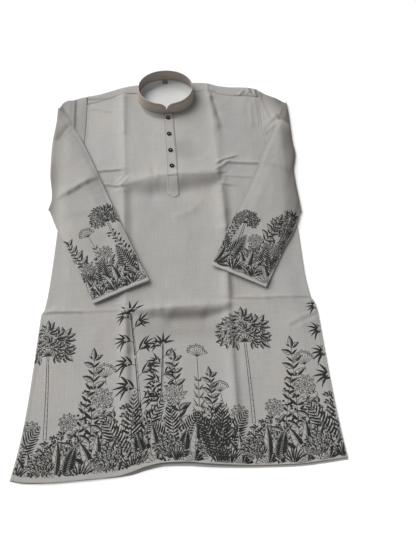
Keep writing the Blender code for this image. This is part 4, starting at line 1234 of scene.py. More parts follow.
def build_button(name, cx, cy):
    """Button: the profile turned about its axis and pressed in at four holes."""
    radius, height = zip(*BUTTON_PROFILE)
    rows, sides = len(radius) - 2, 56
    turns = np.radians(np.arange(sides) * 360 / sides)
    r = np.repeat(np.array(radius[1:-1])[:, None], sides, 1)
    z = np.repeat(np.array(height[1:-1])[:, None], sides, 1)
    x, y = r * np.cos(turns), r * np.sin(turns)
    for hx, hy in ((-1.15, -1.15), (1.15, -1.15), (-1.15, 1.15), (1.15, 1.15)):
        z[6:] -= 0.9 * bell(np.hypot(x - hx, y - hy), 0.62, 4)[6:]
    ends = [(0, 0, height[0]), (0, 0, height[-1])]
    points = np.concatenate([layers(x, y, z).reshape(-1, 3), ends]) + (cx, cy, button_seat(cx, cy))
    j = np.arange(sides)
    k = (j + 1) % sides
    faces = tube_faces(rows, sides).tolist()
    faces += layers(rows * sides, k, j).tolist()
    faces += layers(rows * sides + 1, (rows - 1) * sides + j, (rows - 1) * sides + k).tolist()
    reach = {"reach": np.r_[r.ravel() / max(radius), 0, 0]}
    piece = add_piece(name.capitalize(), points, faces, ["Dark horn"], values=reach)
    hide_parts(name)


def dash_mesh(centres, ways, ups, length, radius):
    """Many short threads: each is a spindle of five rings of six points, carried to its place."""
    steps = np.array((-1.0, -0.72, 0.0, 0.72, 1.0))[:, None, None]
    girth = np.array((0.05, 0.75, 1.0, 0.75, 0.05))[:, None, None]
    arch = np.array((-0.9, -0.25, 0.25, -0.25, -0.9))[:, None, None]
    turns = np.radians(np.arange(6) * 60)[None, :, None]
    side = np.cross(ups, ways)[:, None, None]
    middle, way, up = centres[:, None, None], ways[:, None, None], ups[:, None, None]
    ring = side * np.cos(turns) * girth + up * (np.sin(turns) * girth + arch)
    points = (middle + way * steps * length / 2 + ring * radius).reshape(-1, 3)
    rows, loop = steps.size, turns.size
    one = tube_faces(rows, loop, [(0, 1, 2, 3), (0, 3, 4, 5)])
    faces = (one[None] + (np.arange(len(centres)) * rows * loop)[:, None, None]).reshape(-1, 4)
    return points, facing_out(points, faces).tolist()


def add_threads(name, threads, finish):
    """Piece made of short threads."""
    piece = add_piece(name, *dash_mesh(*threads), [finish])


def sew(name, lines):
    """Rows of stitches; each line is its points and the way its cloth faces at each of them."""
    trim = bpy.context.scene.kurta_trim
    pitch = (trim.stitch + trim.space) / MM
    rows = []
    for points, up in lines:
        reach = reach_of(points)
        stops = np.arange(pitch / 2, reach[-1], pitch)
        way = unit(pick(stops + 0.2, reach, points) - pick(stops - 0.2, reach, points))
        if np.ndim(up) == 1:
            up = np.broadcast_to(up, way.shape)
        else:
            up = pick(np.linspace(0, 1, len(stops)), np.linspace(0, 1, len(up)), up)
        up = up - way * np.einsum("ij,ij->i", up, way)[:, None]
        rows.append((pick(stops, reach, points), way, unit(up)))
    threads = [np.concatenate(part) for part in zip(*rows)]
    add_threads(name, (*threads, trim.stitch / MM, trim.thread_radius / MM), "Sewing thread")


def thread_crosses():
    """Two threads over the middle of every button, one across the other."""
    centres = np.array([(x, y, button_seat(x, y) + 1.62) for _, x, y in BUTTONS])
    ways = np.repeat([(0.707, 0.707, 0.0), (0.707, -0.707, 0.0)], len(centres), 0)
    thread = bpy.context.scene.kurta_trim.thread_radius / MM * 2.2
    spots = np.concatenate([centres, centres + (0, 0, 0.12)])
    add_threads("Button_threads", (spots, ways, np.tile(UP, (len(spots), 1)), 3.7, thread),
                "Button thread")


def on_front(x, y, lift=0.12):
    """Points on the front's face, and the way it faces."""
    return layers(x, y, front_top(x, y) + lift), UP


def on_placket(share, y, lift):
    """Points on the placket's face, and the way it faces."""
    x = placket_place(share, y)
    return layers(x, y, placket_top(x, y, share) + lift), UP


def body_seams():
    """Stitch lines of the body: hem, slits, yoke seams and armholes."""
    x, y = np.linspace(-322, 320, 200), np.linspace(18, 334, 90)
    lines = [on_front(x, hem_front(x) + HEM_TURN - 1.4)]
    lines += [on_front(left_edge(y) + SLIT["sewn"], y), on_front(right_edge(y) - SLIT["sewn"], y)]
    for x0, x1 in ((-204, -75), (84, 250)):
        x = np.linspace(x0, x1, 80)
        for gap in (-1.4, 1.4):
            y = shoulder_seam(x) + gap
            lines.append((layers(x, y, yoke_top(x, y, shoulder_edge(x) - y) + 0.12), UP))
    y = np.linspace(750, 952, 70)
    lines.append(on_front(left_edge(y) + 5.0, y, 0.15))
    y = np.linspace(790, 958, 70)
    lines.append(on_front(right_edge(y) - 9.0, y, 0.15))
    return lines


def placket_seams():
    """Stitch lines of the placket: both edges, the bar across and the point."""
    y, share = np.linspace(652, 907, 90), np.linspace(0.09, 0.91, 24)
    lines = [on_placket(np.full(y.shape, edge), y, 0.1) for edge in (0.085, 0.915)]
    lines += [on_placket(share, np.full(share.shape, PLACKET["bar"] + gap), 0.25) for gap in (-1.0, 1.4)]
    return lines + [on_placket(share, placket_tip(share) + 2.4, 0.1)]


def collar_seams():
    """Stitch lines of the collar: under the top edge outside, at its foot, and inside."""
    degrees = collar_angles(221)[6:-6]
    high = collar_height(degrees)[0]
    lines = []
    for up, grow, sense in ((1 - 3.0 / high, 0.05, 1), (2.6 / high, 0.05, 1), (1 - 3.0 / high, -2.45, -1)):
        points = collar_point(degrees, up, grow)
        lines.append((points, (points - collar_point(degrees, up, grow - 1.0)) * sense))
    return lines


def cuff_seams():
    """Stitch lines round both cuffs, on the faces that show."""
    return [(sleeve_loop(name, np.array([3.0 - 0.024]), -0.12)[0][0, 2:73], UP) for name in SLEEVES]


# --- printed border

PRINT_STARTS = dict(front=(-336.0, 84.0), back=(-520.0, -100.0, 320.0))     # repeats of 420 mm
# One repeat of the border, far motifs first; y counts from the foot of the print.
# motif, x, y, height, breadth, lean in degrees
PRINT_PLAN = rows("""
    tree 66 8 304 128 1, cane 262 4 330 66 -2, cane 290 2 246 54 6, spray 152 4 236 19 4,
    spray 344 4 204 18 -6, spray 398 4 172 16 6, umbel 202 4 196 54 -3, umbel 374 2 218 46 3,
    umbel 22 4 142 42 -6, berries 120 2 178 38 7, berries 316 2 156 34 -9, bush 226 2 132 58 0,
    bush 402 2 108 50 0, bush 100 2 92 46 0, bloom 174 4 152 44 5, bloom 354 4 134 42 -8,
    bloom 30 2 98 36 8, bloom 132 2 112 38 -8, fern 246 0 138 46 26, fern 236 0 150 48 4,
    fern 226 0 132 44 -22, fern 8 0 112 42 24, fern 0 0 120 42 2, fern -8 0 108 40 -24,
    fern 336 0 106 40 22, fern 326 0 118 42 -4, fern 316 0 98 38 -28, grass 62 0 66 52 4,
    grass 118 0 76 50 -6, grass 196 0 70 54 6, grass 276 0 72 50 -4, grass 380 0 66 54 6,
    rosette 88 0 82 23 0, rosette 166 0 92 26 3, rosette 288 0 78 23 -4, rosette 362 0 86 25 4,
    rosette 36 0 60 18 -4, rosette 210 0 56 17 5, bush 62 0 46 40 0, bush 190 0 52 44 0,
    bush 310 0 50 42 0, bush 394 0 48 40 0, fern 112 0 62 26 14, fern 262 0 66 28 -12,
    fern 340 0 58 26 10, grass 12 0 44 50 -6, grass 138 0 40 56 8, grass 240 0 46 50 4,
    grass 326 0 42 52 -8, grass 410 0 46 48 8
""")
# motif, x (from the middle of the cuff), y, height, breadth, lean in degrees
SLEEVE_PRINT = dict(
    sleeve_left=rows("""
        tree 34 4 208 84 3, spray -34 4 150 15 -10, umbel -2 4 150 40 -4, umbel -58 2 96 32 -10,
        berries 62 2 140 30 -4, bush -22 2 92 42 0, bloom 14 2 96 36 -4, bloom -50 2 74 30 4,
        fern 52 0 92 36 20, fern 44 0 100 38 -6, fern -36 0 78 32 -26, fern -28 0 86 34 12,
        rosette 4 0 66 20 2, rosette -60 0 54 17 -4, rosette 62 0 54 17 4, grass -10 0 40 54 -4,
        grass 30 0 42 54 6, grass -44 0 38 52 4
    """),
    sleeve_right=rows("""
        bush 62 104 84 46 4, bush 92 66 70 44 6, spray 74 50 120 15 8, cane 44 4 186 46 6,
        tree -30 4 150 66 -3, spray 12 4 158 15 5, umbel 66 2 140 36 2, berries -58 2 112 28 -6,
        bush 30 2 88 40 0, bloom -4 2 88 34 5, bloom 60 2 82 32 -4, fern -46 0 86 34 -18,
        fern -38 0 92 36 8, fern 50 0 84 34 18, fern 42 0 90 34 -8, rosette 8 0 68 20 -2,
        rosette -64 0 52 17 4, fern 76 20 86 32 14, berries 84 30 104 28 8, rosette 68 0 54 17 -4,
        grass -18 0 42 54 5, grass 26 0 42 54 -6
    """),
)
LINE = 1.0              # width of a drawn line
HALO = 1.7              # bare cloth kept round a motif that stands in front
INK_LIFT = 0.15
PRESS_FROM = 60.0       # height from which the print is pressed onto the cloth


def walk(base, heading, length, bend, count):
    """Midlines: from each base, equal steps whose heading turns by bend from foot to tip."""
    heading, length, bend = spread(heading, length, bend)
    angle = heading[:, None] + bend[:, None] * np.linspace(0, 1, count)[None]
    step = np.stack([np.cos(angle), np.sin(angle)], -1)[:, :-1] * (length / (count - 1))[:, None, None]
    path = np.cumsum(np.concatenate([np.zeros((len(step), 1, 2)), step], 1), 1)
    return np.asarray(base, float)[:, None] + path, angle


def side_of(angle):
    """Unit vectors to the left of each heading."""
    return np.stack([-np.sin(angle), np.cos(angle)], -1)


def around(count, turn=0.0):
    """Headings evenly spaced round a circle, and their unit vectors."""
    angle = np.radians(np.arange(count) * 360 / count) + turn
    return angle, np.stack([np.cos(angle), np.sin(angle)], -1)


def spread(*values):
    """Give several numbers or arrays one common length."""
    return [np.array(value, float) for value in np.broadcast_arrays(*np.atleast_1d(*values))]


def alternate(places):
    """-1 and 1 in turn for a number of places."""
    return np.where(np.arange(len(places)) % 2, 1.0, -1.0)


class Drawing:
    """Strokes and cleared shapes in the order in which they are drawn."""

    def __init__(self):
        self.strokes = []
        self.clear = []
        self.drawn = 0

    def turns(self, count):
        """Places in the order for a number of shapes."""
        self.drawn += count
        return self.drawn - count + np.arange(count)

    def stroke(self, path, width, turn=None):
        """Strokes of given widths along paths."""
        turn = self.turns(len(path)) if turn is None else turn
        self.strokes.append((path, np.broadcast_to(width, path.shape[:2]), turn))

    def shape(self, path, width, halo=HALO, strokes=True):
        """Clear whatever was drawn before under these shapes, then draw them; returns their turns."""
        turn = self.turns(len(path))
        self.clear.append((path, np.broadcast_to(width + halo, path.shape[:2]), turn))
        if strokes:
            self.stroke(path, width, turn)
        return turn


def solid_leaves(art, base, heading, length, breadth, bend, steps=5):
    """Solid leaves: width = breadth * sin(pi * t^0.75)."""
    heading, length, breadth, bend = spread(heading, length, breadth, bend)
    path, _ = walk(base, heading, length, bend, steps + 1)
    t = np.linspace(0.03, 0.98, steps + 1)
    art.shape(path, breadth[:, None] * np.sin(math.pi * t**0.75)[None], HALO * 0.7)


def veined_leaves(art, base, heading, length, breadth, bend, veins=4, shade=0.5, steps=8):
    """Drawn leaves: two margins, a midrib, slanted veins, and one half shaded by a solid band."""
    heading, length, breadth, bend = spread(heading, length, breadth, bend)
    path, angle = walk(base, heading, length, bend, steps + 1)
    side = side_of(angle)
    swell = np.sin(math.pi * np.linspace(0.0, 1.0, steps + 1) ** 0.8)
    half = breadth[:, None] / 2 * swell[None]
    turn = art.shape(path, 2 * half, strokes=False)
    line = LINE * (0.65 + 0.5 * swell)[None]
    for sense in (-1, 1):
        art.stroke(path + sense * side * half[..., None], line, turn)
    art.stroke(path, line * 0.8, turn)
    if shade:
        art.stroke(path - side * half[..., None] * 0.6, half * shade, turn)
    low = 1 + np.arange(veins) * (steps - 3) // max(veins - 1, 1)
    for sense in (1,) if shade else (-1, 1):
        foot = path[:, low]
        tip = path[:, low + 1] + sense * side[:, low + 1] * half[:, low + 1, None] * 0.85
        vein = np.stack([foot, (foot + tip) / 2, tip], 2).reshape(-1, 3, 2)
        art.stroke(vein, np.array((0.8, 0.7, 0.35)) * LINE, np.repeat(turn, veins))


def dots(art, centre, radius):
    """Solid discs: a short stroke whose width is the chord of a circle."""
    t = np.array((-0.98, -0.6, 0.0, 0.6, 0.98))
    path = centre[:, None] + radius * np.stack([t, 0 * t], -1)
    art.shape(path, 2 * radius * np.sqrt(1 - t**2)[None], HALO * 0.5)


def one_stem(art, x, y, length, lean, bend, thick, count):
    """One stem; returns its points and headings."""
    path, angle = walk([(x, y)], math.radians(90.0 - lean), length, bend, count)
    art.shape(path, np.linspace(1.0, 0.5, count)[None] * thick)
    return path[0], angle[0]


def trunk(art, x, y, length, lean, bend, wide, margins):
    """Bare stem with two drawn margins; returns its points, headings, half widths and turn."""
    path, angle = walk([(x, y)], math.radians(90.0 - lean), length, bend, len(wide))
    reach = side_of(angle) * wide[None, :, None]
    turn = art.shape(path, 2 * wide[None], strokes=False)
    for sense, margin in zip((-1, 1), margins):
        art.stroke(path + sense * reach, LINE * margin, turn)
    return path[0], angle[0], reach[0], turn


def draw_fern(art, rng, x, y, height, breadth, lean):
    """Frond: a bending rib with paired leaflets, longest a third of the way up."""
    path, angle = one_stem(art, x, y, height * 1.03, lean * 0.4, -math.radians(lean) * 1.3, 1.5, 19)
    t = np.linspace(0.08, 1, 17)
    size = breadth * 0.6 * np.sin(math.pi * (0.24 + 0.74 * t)) * rng.uniform(0.92, 1.08, 17) + 2.5
    for sense in (-1, 1):
        heading = angle[2:] + sense * (1.2 - 0.45 * t)
        solid_leaves(art, path[2:], heading, size, size * 0.1 + 1.7, -sense * 0.35)


def draw_grass(art, rng, x, y, height, breadth, lean):
    """Tuft: blades that fan out and bow over."""
    fan = np.linspace(-1, 1, 11) + rng.uniform(-0.07, 0.07, 11)
    fan = fan[np.argsort(-np.abs(fan))]
    heading = math.pi / 2 - math.radians(lean) - fan * math.radians(breadth) * 0.75
    length = height * (1 - 0.25 * np.abs(fan)) * rng.uniform(0.8, 1.1, 11)
    solid_leaves(art, layers(x + fan * 6, y), heading, length, 2.9, -fan * 0.6, 9)


def draw_rosette(art, rng, x, y, height, breadth, lean):
    """Clump of broad veined leaves, the outer ones behind."""
    fan = np.array((-1.0, 1.0, -0.66, 0.66, -0.33, 0.36, 0.02))
    heading = math.pi / 2 - math.radians(lean) - fan * 1.15 + rng.uniform(-0.05, 0.05, 7)
    length = height * (1 - 0.25 * np.abs(fan)) * rng.uniform(0.92, 1.06, 7)
    wide = 0.8 * breadth * (1 - 0.15 * np.abs(fan))
    veined_leaves(art, layers(x + fan * 5, y), heading, length, wide, -fan * 0.45, 7, 0.85, 14)


def draw_spray(art, rng, x, y, height, breadth, lean):
    """Leafy shoot: leaves in turn to either side of a swaying stem, and one at its tip."""
    path, angle = one_stem(art, x, y, height, lean, math.radians(rng.uniform(-14, 14)), 1.8, 16)
    place, turn = path[3:], angle[3:]
    sense = alternate(place)
    size = breadth * 1.7 * np.linspace(1.1, 0.7, 13) * rng.uniform(0.85, 1.15, 13)
    veined_leaves(art, place, turn + sense * 0.9, size, size * 0.42, 0.3 * sense, 3, 0.7, 7)
    small = size[1:] * 0.7
    solid_leaves(art, place[1:], turn[1:] - sense[1:] * 0.8, small, small * 0.27, 0.0)
    veined_leaves(art, path[-1:], angle[-1:], breadth * 1.5, breadth * 0.6, 0.1, 3, 0.7, 7)


def draw_umbel(art, rng, x, y, height, breadth, lean):
    """Umbel: rays from the top of a stem, each with a head of dots, over feathery leaves."""
    path, angle = one_stem(art, x, y, height, lean, 0.06, 1.7, 13)
    fan = np.linspace(-1.2, 1.2, 9)
    reach = breadth * 0.5 * (0.8 + 0.25 * np.cos(fan)) * rng.uniform(0.92, 1.08, 9)
    rays, _ = walk(np.tile(path[-1], (9, 1)), angle[-1] + fan, reach, -0.25 * fan, 5)
    art.stroke(rays, LINE * 0.8)
    heads = rays[:, -1][:, None] + 2.6 * around(5)[1][None]
    dots(art, heads.reshape(-1, 2), 1.25)
    place, turn = path[3:10], angle[3:10]
    size = breadth * np.linspace(0.6, 0.32, 7)
    for sense in (-1, 1):
        solid_leaves(art, place, turn + sense * 0.85, size, 2.3, -sense * 0.5, 6)
        solid_leaves(art, place, turn + sense * 1.35, size * 0.6, 1.9, -sense * 0.3)


def draw_bloom(art, rng, x, y, height, breadth, lean):
    """Flower: two rings of petals round a dotted eye, on a stem with veined leaves."""
    path, angle = one_stem(art, x, y, height, lean, 0.1, 1.9, 12)
    side = np.array((1.0, -1.0, 1.0, -1.0))
    size = breadth * np.array((0.95, 0.85, 0.7, 0.55))
    heading = angle[2:9:2] + side * 0.85
    veined_leaves(art, path[2:9:2], heading, size, size * 0.36, 0.5 * side, 4, 0.6, 9)
    top, core = path[-1:], breadth * 0.07
    for count, share, wide, shift in ((10, 1.0, 0.3, 0.0), (7, 0.66, 0.27, 0.3)):
        heading, way = around(count, rng.uniform(0, 0.4) + shift)
        length, wide = breadth * 0.46 * share, breadth * wide * share
        veined_leaves(art, top + core * way, heading, length, wide, 0.2, 2, 0.0, 6)
    dots(art, top + core * around(6)[1], 1.2)
    dots(art, top, 1.6)


def draw_berries(art, rng, x, y, height, breadth, lean):
    """Berry twig: short stalks on both sides, each with a round berry, and small leaves."""
    path, angle = one_stem(art, x, y, height, lean, math.radians(rng.uniform(-20, 20)), 1.6, 15)
    place, turn = path[4:], angle[4:]
    sense = alternate(place)
    reach = breadth * 0.42 * rng.uniform(0.7, 1.1, 11)
    solid_leaves(art, place, turn - sense * 0.8, breadth * 0.46, breadth * 0.15, -0.3 * sense)
    stalks, _ = walk(place, turn + sense * 0.75, reach, 0.4 * sense, 4)
    art.stroke(stalks, LINE * 0.9)
    dots(art, stalks[:, -1] + rng.uniform(-4.0, 4.0, (11, 2)), 2.0)
    dots(art, stalks[:, -1], 2.7)


def draw_bush(art, rng, x, y, height, breadth, lean):
    """Bush: a few boughs and many small leaves over a round head."""
    fan = np.linspace(-1, 1, 7)
    reach = height * (0.92 - 0.2 * np.abs(fan))
    boughs, turns = walk(np.tile((x, y), (7, 1)), math.pi / 2 - fan * 0.5, reach, -0.35 * fan, 9)
    turn = art.shape(boughs, 1.4, strokes=False)
    art.stroke(boughs, np.linspace(1.9, 0.8, 9)[None], turn)
    place, way = boughs[:, 3:].reshape(-1, 2), turns[:, 3:].reshape(-1)
    count = len(place)
    order = rng.permutation(count)
    for offset in (-1.0, 1.0, -0.3, 0.4):
        heading = way[order] + offset + rng.uniform(-0.3, 0.3, count)
        size = breadth * rng.uniform(0.17, 0.27, count)
        if abs(offset) < 0.5:
            veined_leaves(art, place[order], heading, size * 1.2, size * 0.62, 0.3, 2, 0.8, 5)
        else:
            solid_leaves(art, place[order], heading, size, size * 0.42, 0.3, 4)


def draw_cane(art, rng, x, y, height, breadth, lean):
    """Jointed cane: two edges, rings at the joints, and twigs with drooping blades above."""
    wide = np.linspace(3.0, 1.1, 25)
    path, angle, reach, turn = trunk(art, x, y, height, lean, 0.06, wide, (0.8, 1.1))
    art.stroke((path + reach * 0.4)[None], LINE * 0.7, turn)
    joints, across = path[2::3], reach[2::3] * 1.25
    rings = np.stack([joints - across, joints, joints + across], 1)
    art.stroke(rings, LINE * 1.4, np.repeat(turn, len(joints)))
    for number, k in enumerate(range(9, 25, 2)):
        sense = 1.0 if number % 2 else -1.0
        size = breadth * (1.0 - 0.35 * number / 7)
        way = angle[k] + sense * rng.uniform(0.65, 0.9)
        twig, turns = walk(path[k : k + 1], way, size * 0.42, sense * 0.4, 5)
        art.stroke(twig, LINE * 0.9)
        for spot, fan in ((2, (-0.7, 0.5)), (4, (-0.9, -0.4, 0.1, 0.6, 1.1))):
            long = size * rng.uniform(0.42, 0.62, len(fan))
            base = np.tile(twig[0, spot], (len(fan), 1))
            heading = turns[0, spot] + np.array(fan) * sense
            solid_leaves(art, base, heading, long, long * 0.12 + 1.2, sense * 0.6, 7)
    fan, tip = np.linspace(-1.0, 1.0, 5), np.tile(path[-1], (5, 1))
    solid_leaves(art, tip, angle[-1] + fan, breadth * 0.5, breadth * 0.07 + 1.0, fan * 0.7, 7)


def draw_tree(art, rng, x, y, height, breadth, lean):
    """Round-headed tree: a hatched trunk, forked boughs, and tufts of veined leaves."""
    wide = np.linspace(3.6, 1.9, 22) + 3.0 * np.exp(-np.arange(22) / 1.2)
    path, angle, reach, turn = trunk(art, x, y, height - breadth * 0.42, lean, 0.05, wide, (1.1, 1.1))
    marks, reach = path[1:-1], reach[1:-1]
    hatch = [marks - reach * 0.9, marks - reach * 0.4 + (0, 1.2), marks + reach * 0.1 + (0, 1.6)]
    art.stroke(np.stack(hatch, 1), LINE * 0.8, np.repeat(turn, len(marks)))
    fan = np.linspace(-1.75, 1.75, 9)
    fan = fan[np.argsort(-np.abs(fan))]
    bough = breadth * 0.36 * (0.9 + 0.2 * np.cos(fan)) * rng.uniform(0.9, 1.1, 9)
    boughs, turns = walk(np.tile(path[-1], (9, 1)), angle[-1] + fan, bough, -0.35 * fan, 9)
    art.stroke(boughs, np.linspace(2.2, 0.9, 9)[None])
    for k in range(9):
        for spot, share in ((4, 0.75), (8, 1.0)):
            ray = np.array((2.1, -2.1, 1.4, -1.4, 0.7, -0.7, 0.0)) + rng.uniform(-0.12, 0.12, 7)
            size = breadth * 0.2 * share * rng.uniform(0.85, 1.1, 7)
            base = np.tile(boughs[k, spot], (7, 1))
            veined_leaves(art, base, turns[k, spot] + ray, size, size * 0.4, -0.25 * ray, 3, 0.75, 6)
        dots(art, boughs[k, -1:], 1.5)


MOTIFS = dict(
    fern=draw_fern, grass=draw_grass, rosette=draw_rosette, spray=draw_spray, umbel=draw_umbel,
    bloom=draw_bloom, berries=draw_berries, bush=draw_bush, cane=draw_cane, tree=draw_tree,
)


def knock_out(spot, turn, clear):
    """Which spots are hidden: inside a shape that is drawn later than they are."""
    order = np.argsort(spot[:, 0])
    xs = spot[order, 0]
    hidden = np.zeros(len(spot), bool)
    for path, width, turns in clear:
        index = np.arange(path.shape[1])
        fine = np.linspace(0, index[-1], 2 * len(index) - 1)
        for line, wide, when in zip(path, width, turns):
            (left, foot), (right, head) = line.min(0) - wide.max() / 2, line.max(0) + wide.max() / 2
            low, high = np.searchsorted(xs, (left, right))
            near = order[low:high]
            near = near[(spot[near, 1] > foot) & (spot[near, 1] < head) & (turn[near] < when)]
            gap = spot[near][:, None] - pick(fine, index, line)[None]
            inside = (gap**2).sum(-1) < (np.interp(fine, index, wide) / 2)[None] ** 2
            hidden[near[inside.any(axis=1)]] = True
    return hidden


def ribbons(art):
    """Strokes as flat ribbons: each point of a path moved half the width to either side."""
    points, faces, turns, count = [], [], [], 0
    for path, width, turn in art.strokes:
        way = unit(np.gradient(path, axis=1))
        side = np.stack([-way[..., 1], way[..., 0]], -1) * (np.maximum(width, 0.3) / 2)[..., None]
        pair = np.stack([path + side, path - side], axis=2)
        strokes, stops = pair.shape[:2]
        i, j = np.meshgrid(np.arange(strokes), np.arange(stops - 1), indexing="ij")
        first = count + (i * stops + j) * 2
        faces.append(np.stack([first, first + 1, first + 3, first + 2], -1).reshape(-1, 4))
        turns.append(np.repeat(turn, stops - 1))
        points.append(pair.reshape(-1, 2))
        count += strokes * stops * 2
    points, faces, turns = (np.concatenate(part) for part in (points, faces, turns))
    hidden = knock_out(points[faces].mean(axis=1), turns, art.clear)
    return points, faces[~hidden]


def draw_border(plan, seed, starts=(0.0,)):
    """Points and faces of a plan, at every start along the cloth."""
    art = Drawing()
    rng = np.random.default_rng(seed)
    for motif, *row in plan:
        MOTIFS[motif](art, rng, *row)
    points, faces = ribbons(art)
    every = [points + (start, 0.0) for start in starts]
    return np.concatenate(every), np.concatenate([faces + k * len(points) for k in range(len(starts))])


def press_onto(plan, target):
    """Heights, in mm, of the target's upper face under a plan, and where there is none."""
    thing, mesh = add_mesh("pressing", layers(plan[:, 0], plan[:, 1], PRESS_FROM))
    wrap = thing.modifiers.new("press", "SHRINKWRAP")
    wrap.target = target
    wrap.wrap_method = "PROJECT"
    wrap.use_project_z = True
    wrap.use_positive_direction = False
    wrap.use_negative_direction = True
    bpy.context.view_layer.update()
    shaped = thing.evaluated_get(bpy.context.evaluated_depsgraph_get())
    found = np.zeros(len(plan) * 3)
    shaped.data.vertices.foreach_get("co", found)
    height = found[2::3] / MM
    bpy.data.objects.remove(thing, do_unlink=True)
    bpy.data.meshes.remove(mesh)
    return height, height > PRESS_FROM - 0.5


def add_print(name, plan, height, faces, lost):
    """One sheet of ink on its cloth, without the faces that use a lost point."""
    faces = faces[~lost[faces].any(axis=1)]
    used, numbered = np.unique(faces, return_inverse=True)
    points = layers(plan[:, 0], plan[:, 1], height)[used]
    piece = add_piece(name, points, numbered.reshape(faces.shape).tolist(), ["Printed ink"])


def body_border(starts, hem):
    """Border of one side of the body, its foot a margin above the hem."""
    sizes = bpy.context.scene.kurta_print
    plan, faces = draw_border(PRINT_PLAN, sizes.seed, starts)
    plan[:, 1] += hem(plan[:, 0]) + sizes.margin / MM
    return plan, plan[:, 0], plan[:, 1], faces


def print_front():
    """Border of the front, pressed onto the cloth."""
    plan, x, y, faces = body_border(PRINT_STARTS["front"], hem_front)
    bare = 1.8 + 6.5 * ease((-20 - x) / 90)
    height, missed = press_onto(plan, bpy.data.objects["Front_cloth"])
    lost = (from_side(x, y) < 0.8) | (y < hem_front(x) + bare) | missed
    add_print("Print_front", plan, height + INK_LIFT, faces, lost)


def print_back():
    """Border of the back, on the face that lies on the floor."""
    plan, x, y, faces = body_border(PRINT_STARTS["back"], hem_back)
    add_print("Print_back", plan, 0.05, faces[:, ::-1], (from_side(x, y) < 1.6) | (y < hem_back(x) + 3.0))


def print_sleeve(name):
    """Border of one sleeve, drawn up from the cuff and pressed onto the face that shows."""
    sizes = bpy.context.scene.kurta_print
    spec, title = SLEEVES[name], name.capitalize()
    plan, faces = draw_border(SLEEVE_PRINT[name], sizes.seed + 5)
    ends = np.array((spec["cuff_in"], spec["cuff_out"]), float)
    first, second = ends[:: -spec["side"]]
    right = unit(first - second)
    up = np.array((-right[1], right[0]))
    plan = (first + second) / 2 + plan[:, :1] * right + (plan[:, 1:] + sizes.cuff_margin / MM) * up
    height, missed = press_onto(plan, bpy.data.objects[f"{title}_cloth"])
    add_print(f"{title}_print", plan, height + INK_LIFT, faces, missed)


# --- stage

CAMERA = dict(
    # axes of the camera and its place, in metres; focal is in units of the picture's height
    right=(0.9976, -0.0666, 0.0188), up=(0.0500, 0.8814, 0.4698), back=(-0.0478, -0.4678, 0.8826),
    place=(0.01138, -0.77214, 1.28751), focal=640.0 / 553.0, shape=416.0 / 553.0,
)
FLOOR_HALF = 7000.0


def build_camera():
    """Camera at its place; the sensor is fitted to the picture's height."""
    data = bpy.data.cameras.new("Camera")
    data.sensor_fit = "VERTICAL"
    data.sensor_height = 24.0
    data.sensor_width = data.sensor_height * CAMERA["shape"]
    data.lens = CAMERA["focal"] * data.sensor_height
    data.clip_start = 0.05
    data.clip_end = 60.0
    camera = add_object("Camera", data)
    axes = Matrix((CAMERA["right"], CAMERA["up"], CAMERA["back"])).transposed().to_4x4()
    camera.matrix_world = Matrix.Translation(CAMERA["place"]) @ axes
    bpy.context.scene.camera = camera


def add_light(name, turn, rise, width, power, colour):
    """Soft distant light from a compass heading and a height above the floor."""
    data = bpy.data.lights.new(name, "SUN")
    data.angle = width
    data.energy = power
    data.color = colour
    lamp = add_object(name, data)
    lamp.rotation_euler = (math.pi / 2 - rise, 0.0, math.pi - turn)
    lamp.location = (1.5 * math.sin(turn), 1.5 * math.cos(turn), 1.5)


def build_world(look):
    """Light from all round; the camera sees it as plain white."""
    world = bpy.data.worlds.new("Studio")
    world.use_nodes = True
    tree = world.node_tree
    sky = feed(tree, tree.nodes["Background"], {"Color": (*look.sky, 1), "Strength": look.fill})
    seen = add_node(tree, "ShaderNodeBackground", {"Color": (1, 1, 1, 1), "Strength": 1.0})
    ray = add_node(tree, "ShaderNodeLightPath").outputs["Is Camera Ray"]
    both = add_node(tree, "ShaderNodeMixShader", {0: ray, 1: sky.outputs[0], 2: seen.outputs[0]})
    feed(tree, tree.nodes["World Output"], {"Surface": both.outputs[0]})
    bpy.context.scene.world = world


def build_stage():
    """Floor, world, lights and camera."""
    look = bpy.context.scene.kurta_stage
    corners = [(x * FLOOR_HALF, y * FLOOR_HALF, -0.2) for x, y in ((-1, -1), (1, -1), (1, 1), (-1, 1))]
    floor = add_piece("Floor", corners, [(0, 1, 2, 3)], ["Pale floor"], ride=False)
    build_world(look)
    add_light("Key", look.key_turn, look.key_rise, look.key_angle, look.key_power, look.key_colour)
    add_light("Fill", math.pi, math.radians(20), math.radians(50), look.front_power, (1.0, 0.98, 0.96))
    build_camera()
    view = bpy.context.scene.view_settings
    view.view_transform = "Standard"
    view.look = "None"
    view.exposure = 0.0


# --- add-on


def colour(name, words, default):
    """Colour in the sidebar."""
    return bpy.props.FloatVectorProperty(
        name=name, description=words, default=default, subtype="COLOR", size=3, min=0, max=1)


def length(name, words, default, low, high):
    """Length in the sidebar."""
    return bpy.props.FloatProperty(
        name=name, description=words, default=default, min=low, max=high, unit="LENGTH", precision=5)


def amount(name, words, default, high):
    """Plain number in the sidebar."""
    return bpy.props.FloatProperty(name=name, description=words, default=default, min=0, max=high)


def angle(name, words, degrees):
    """Angle in the sidebar."""
    return bpy.props.FloatProperty(
        name=name, description=words, default=math.radians(degrees), subtype="ANGLE")


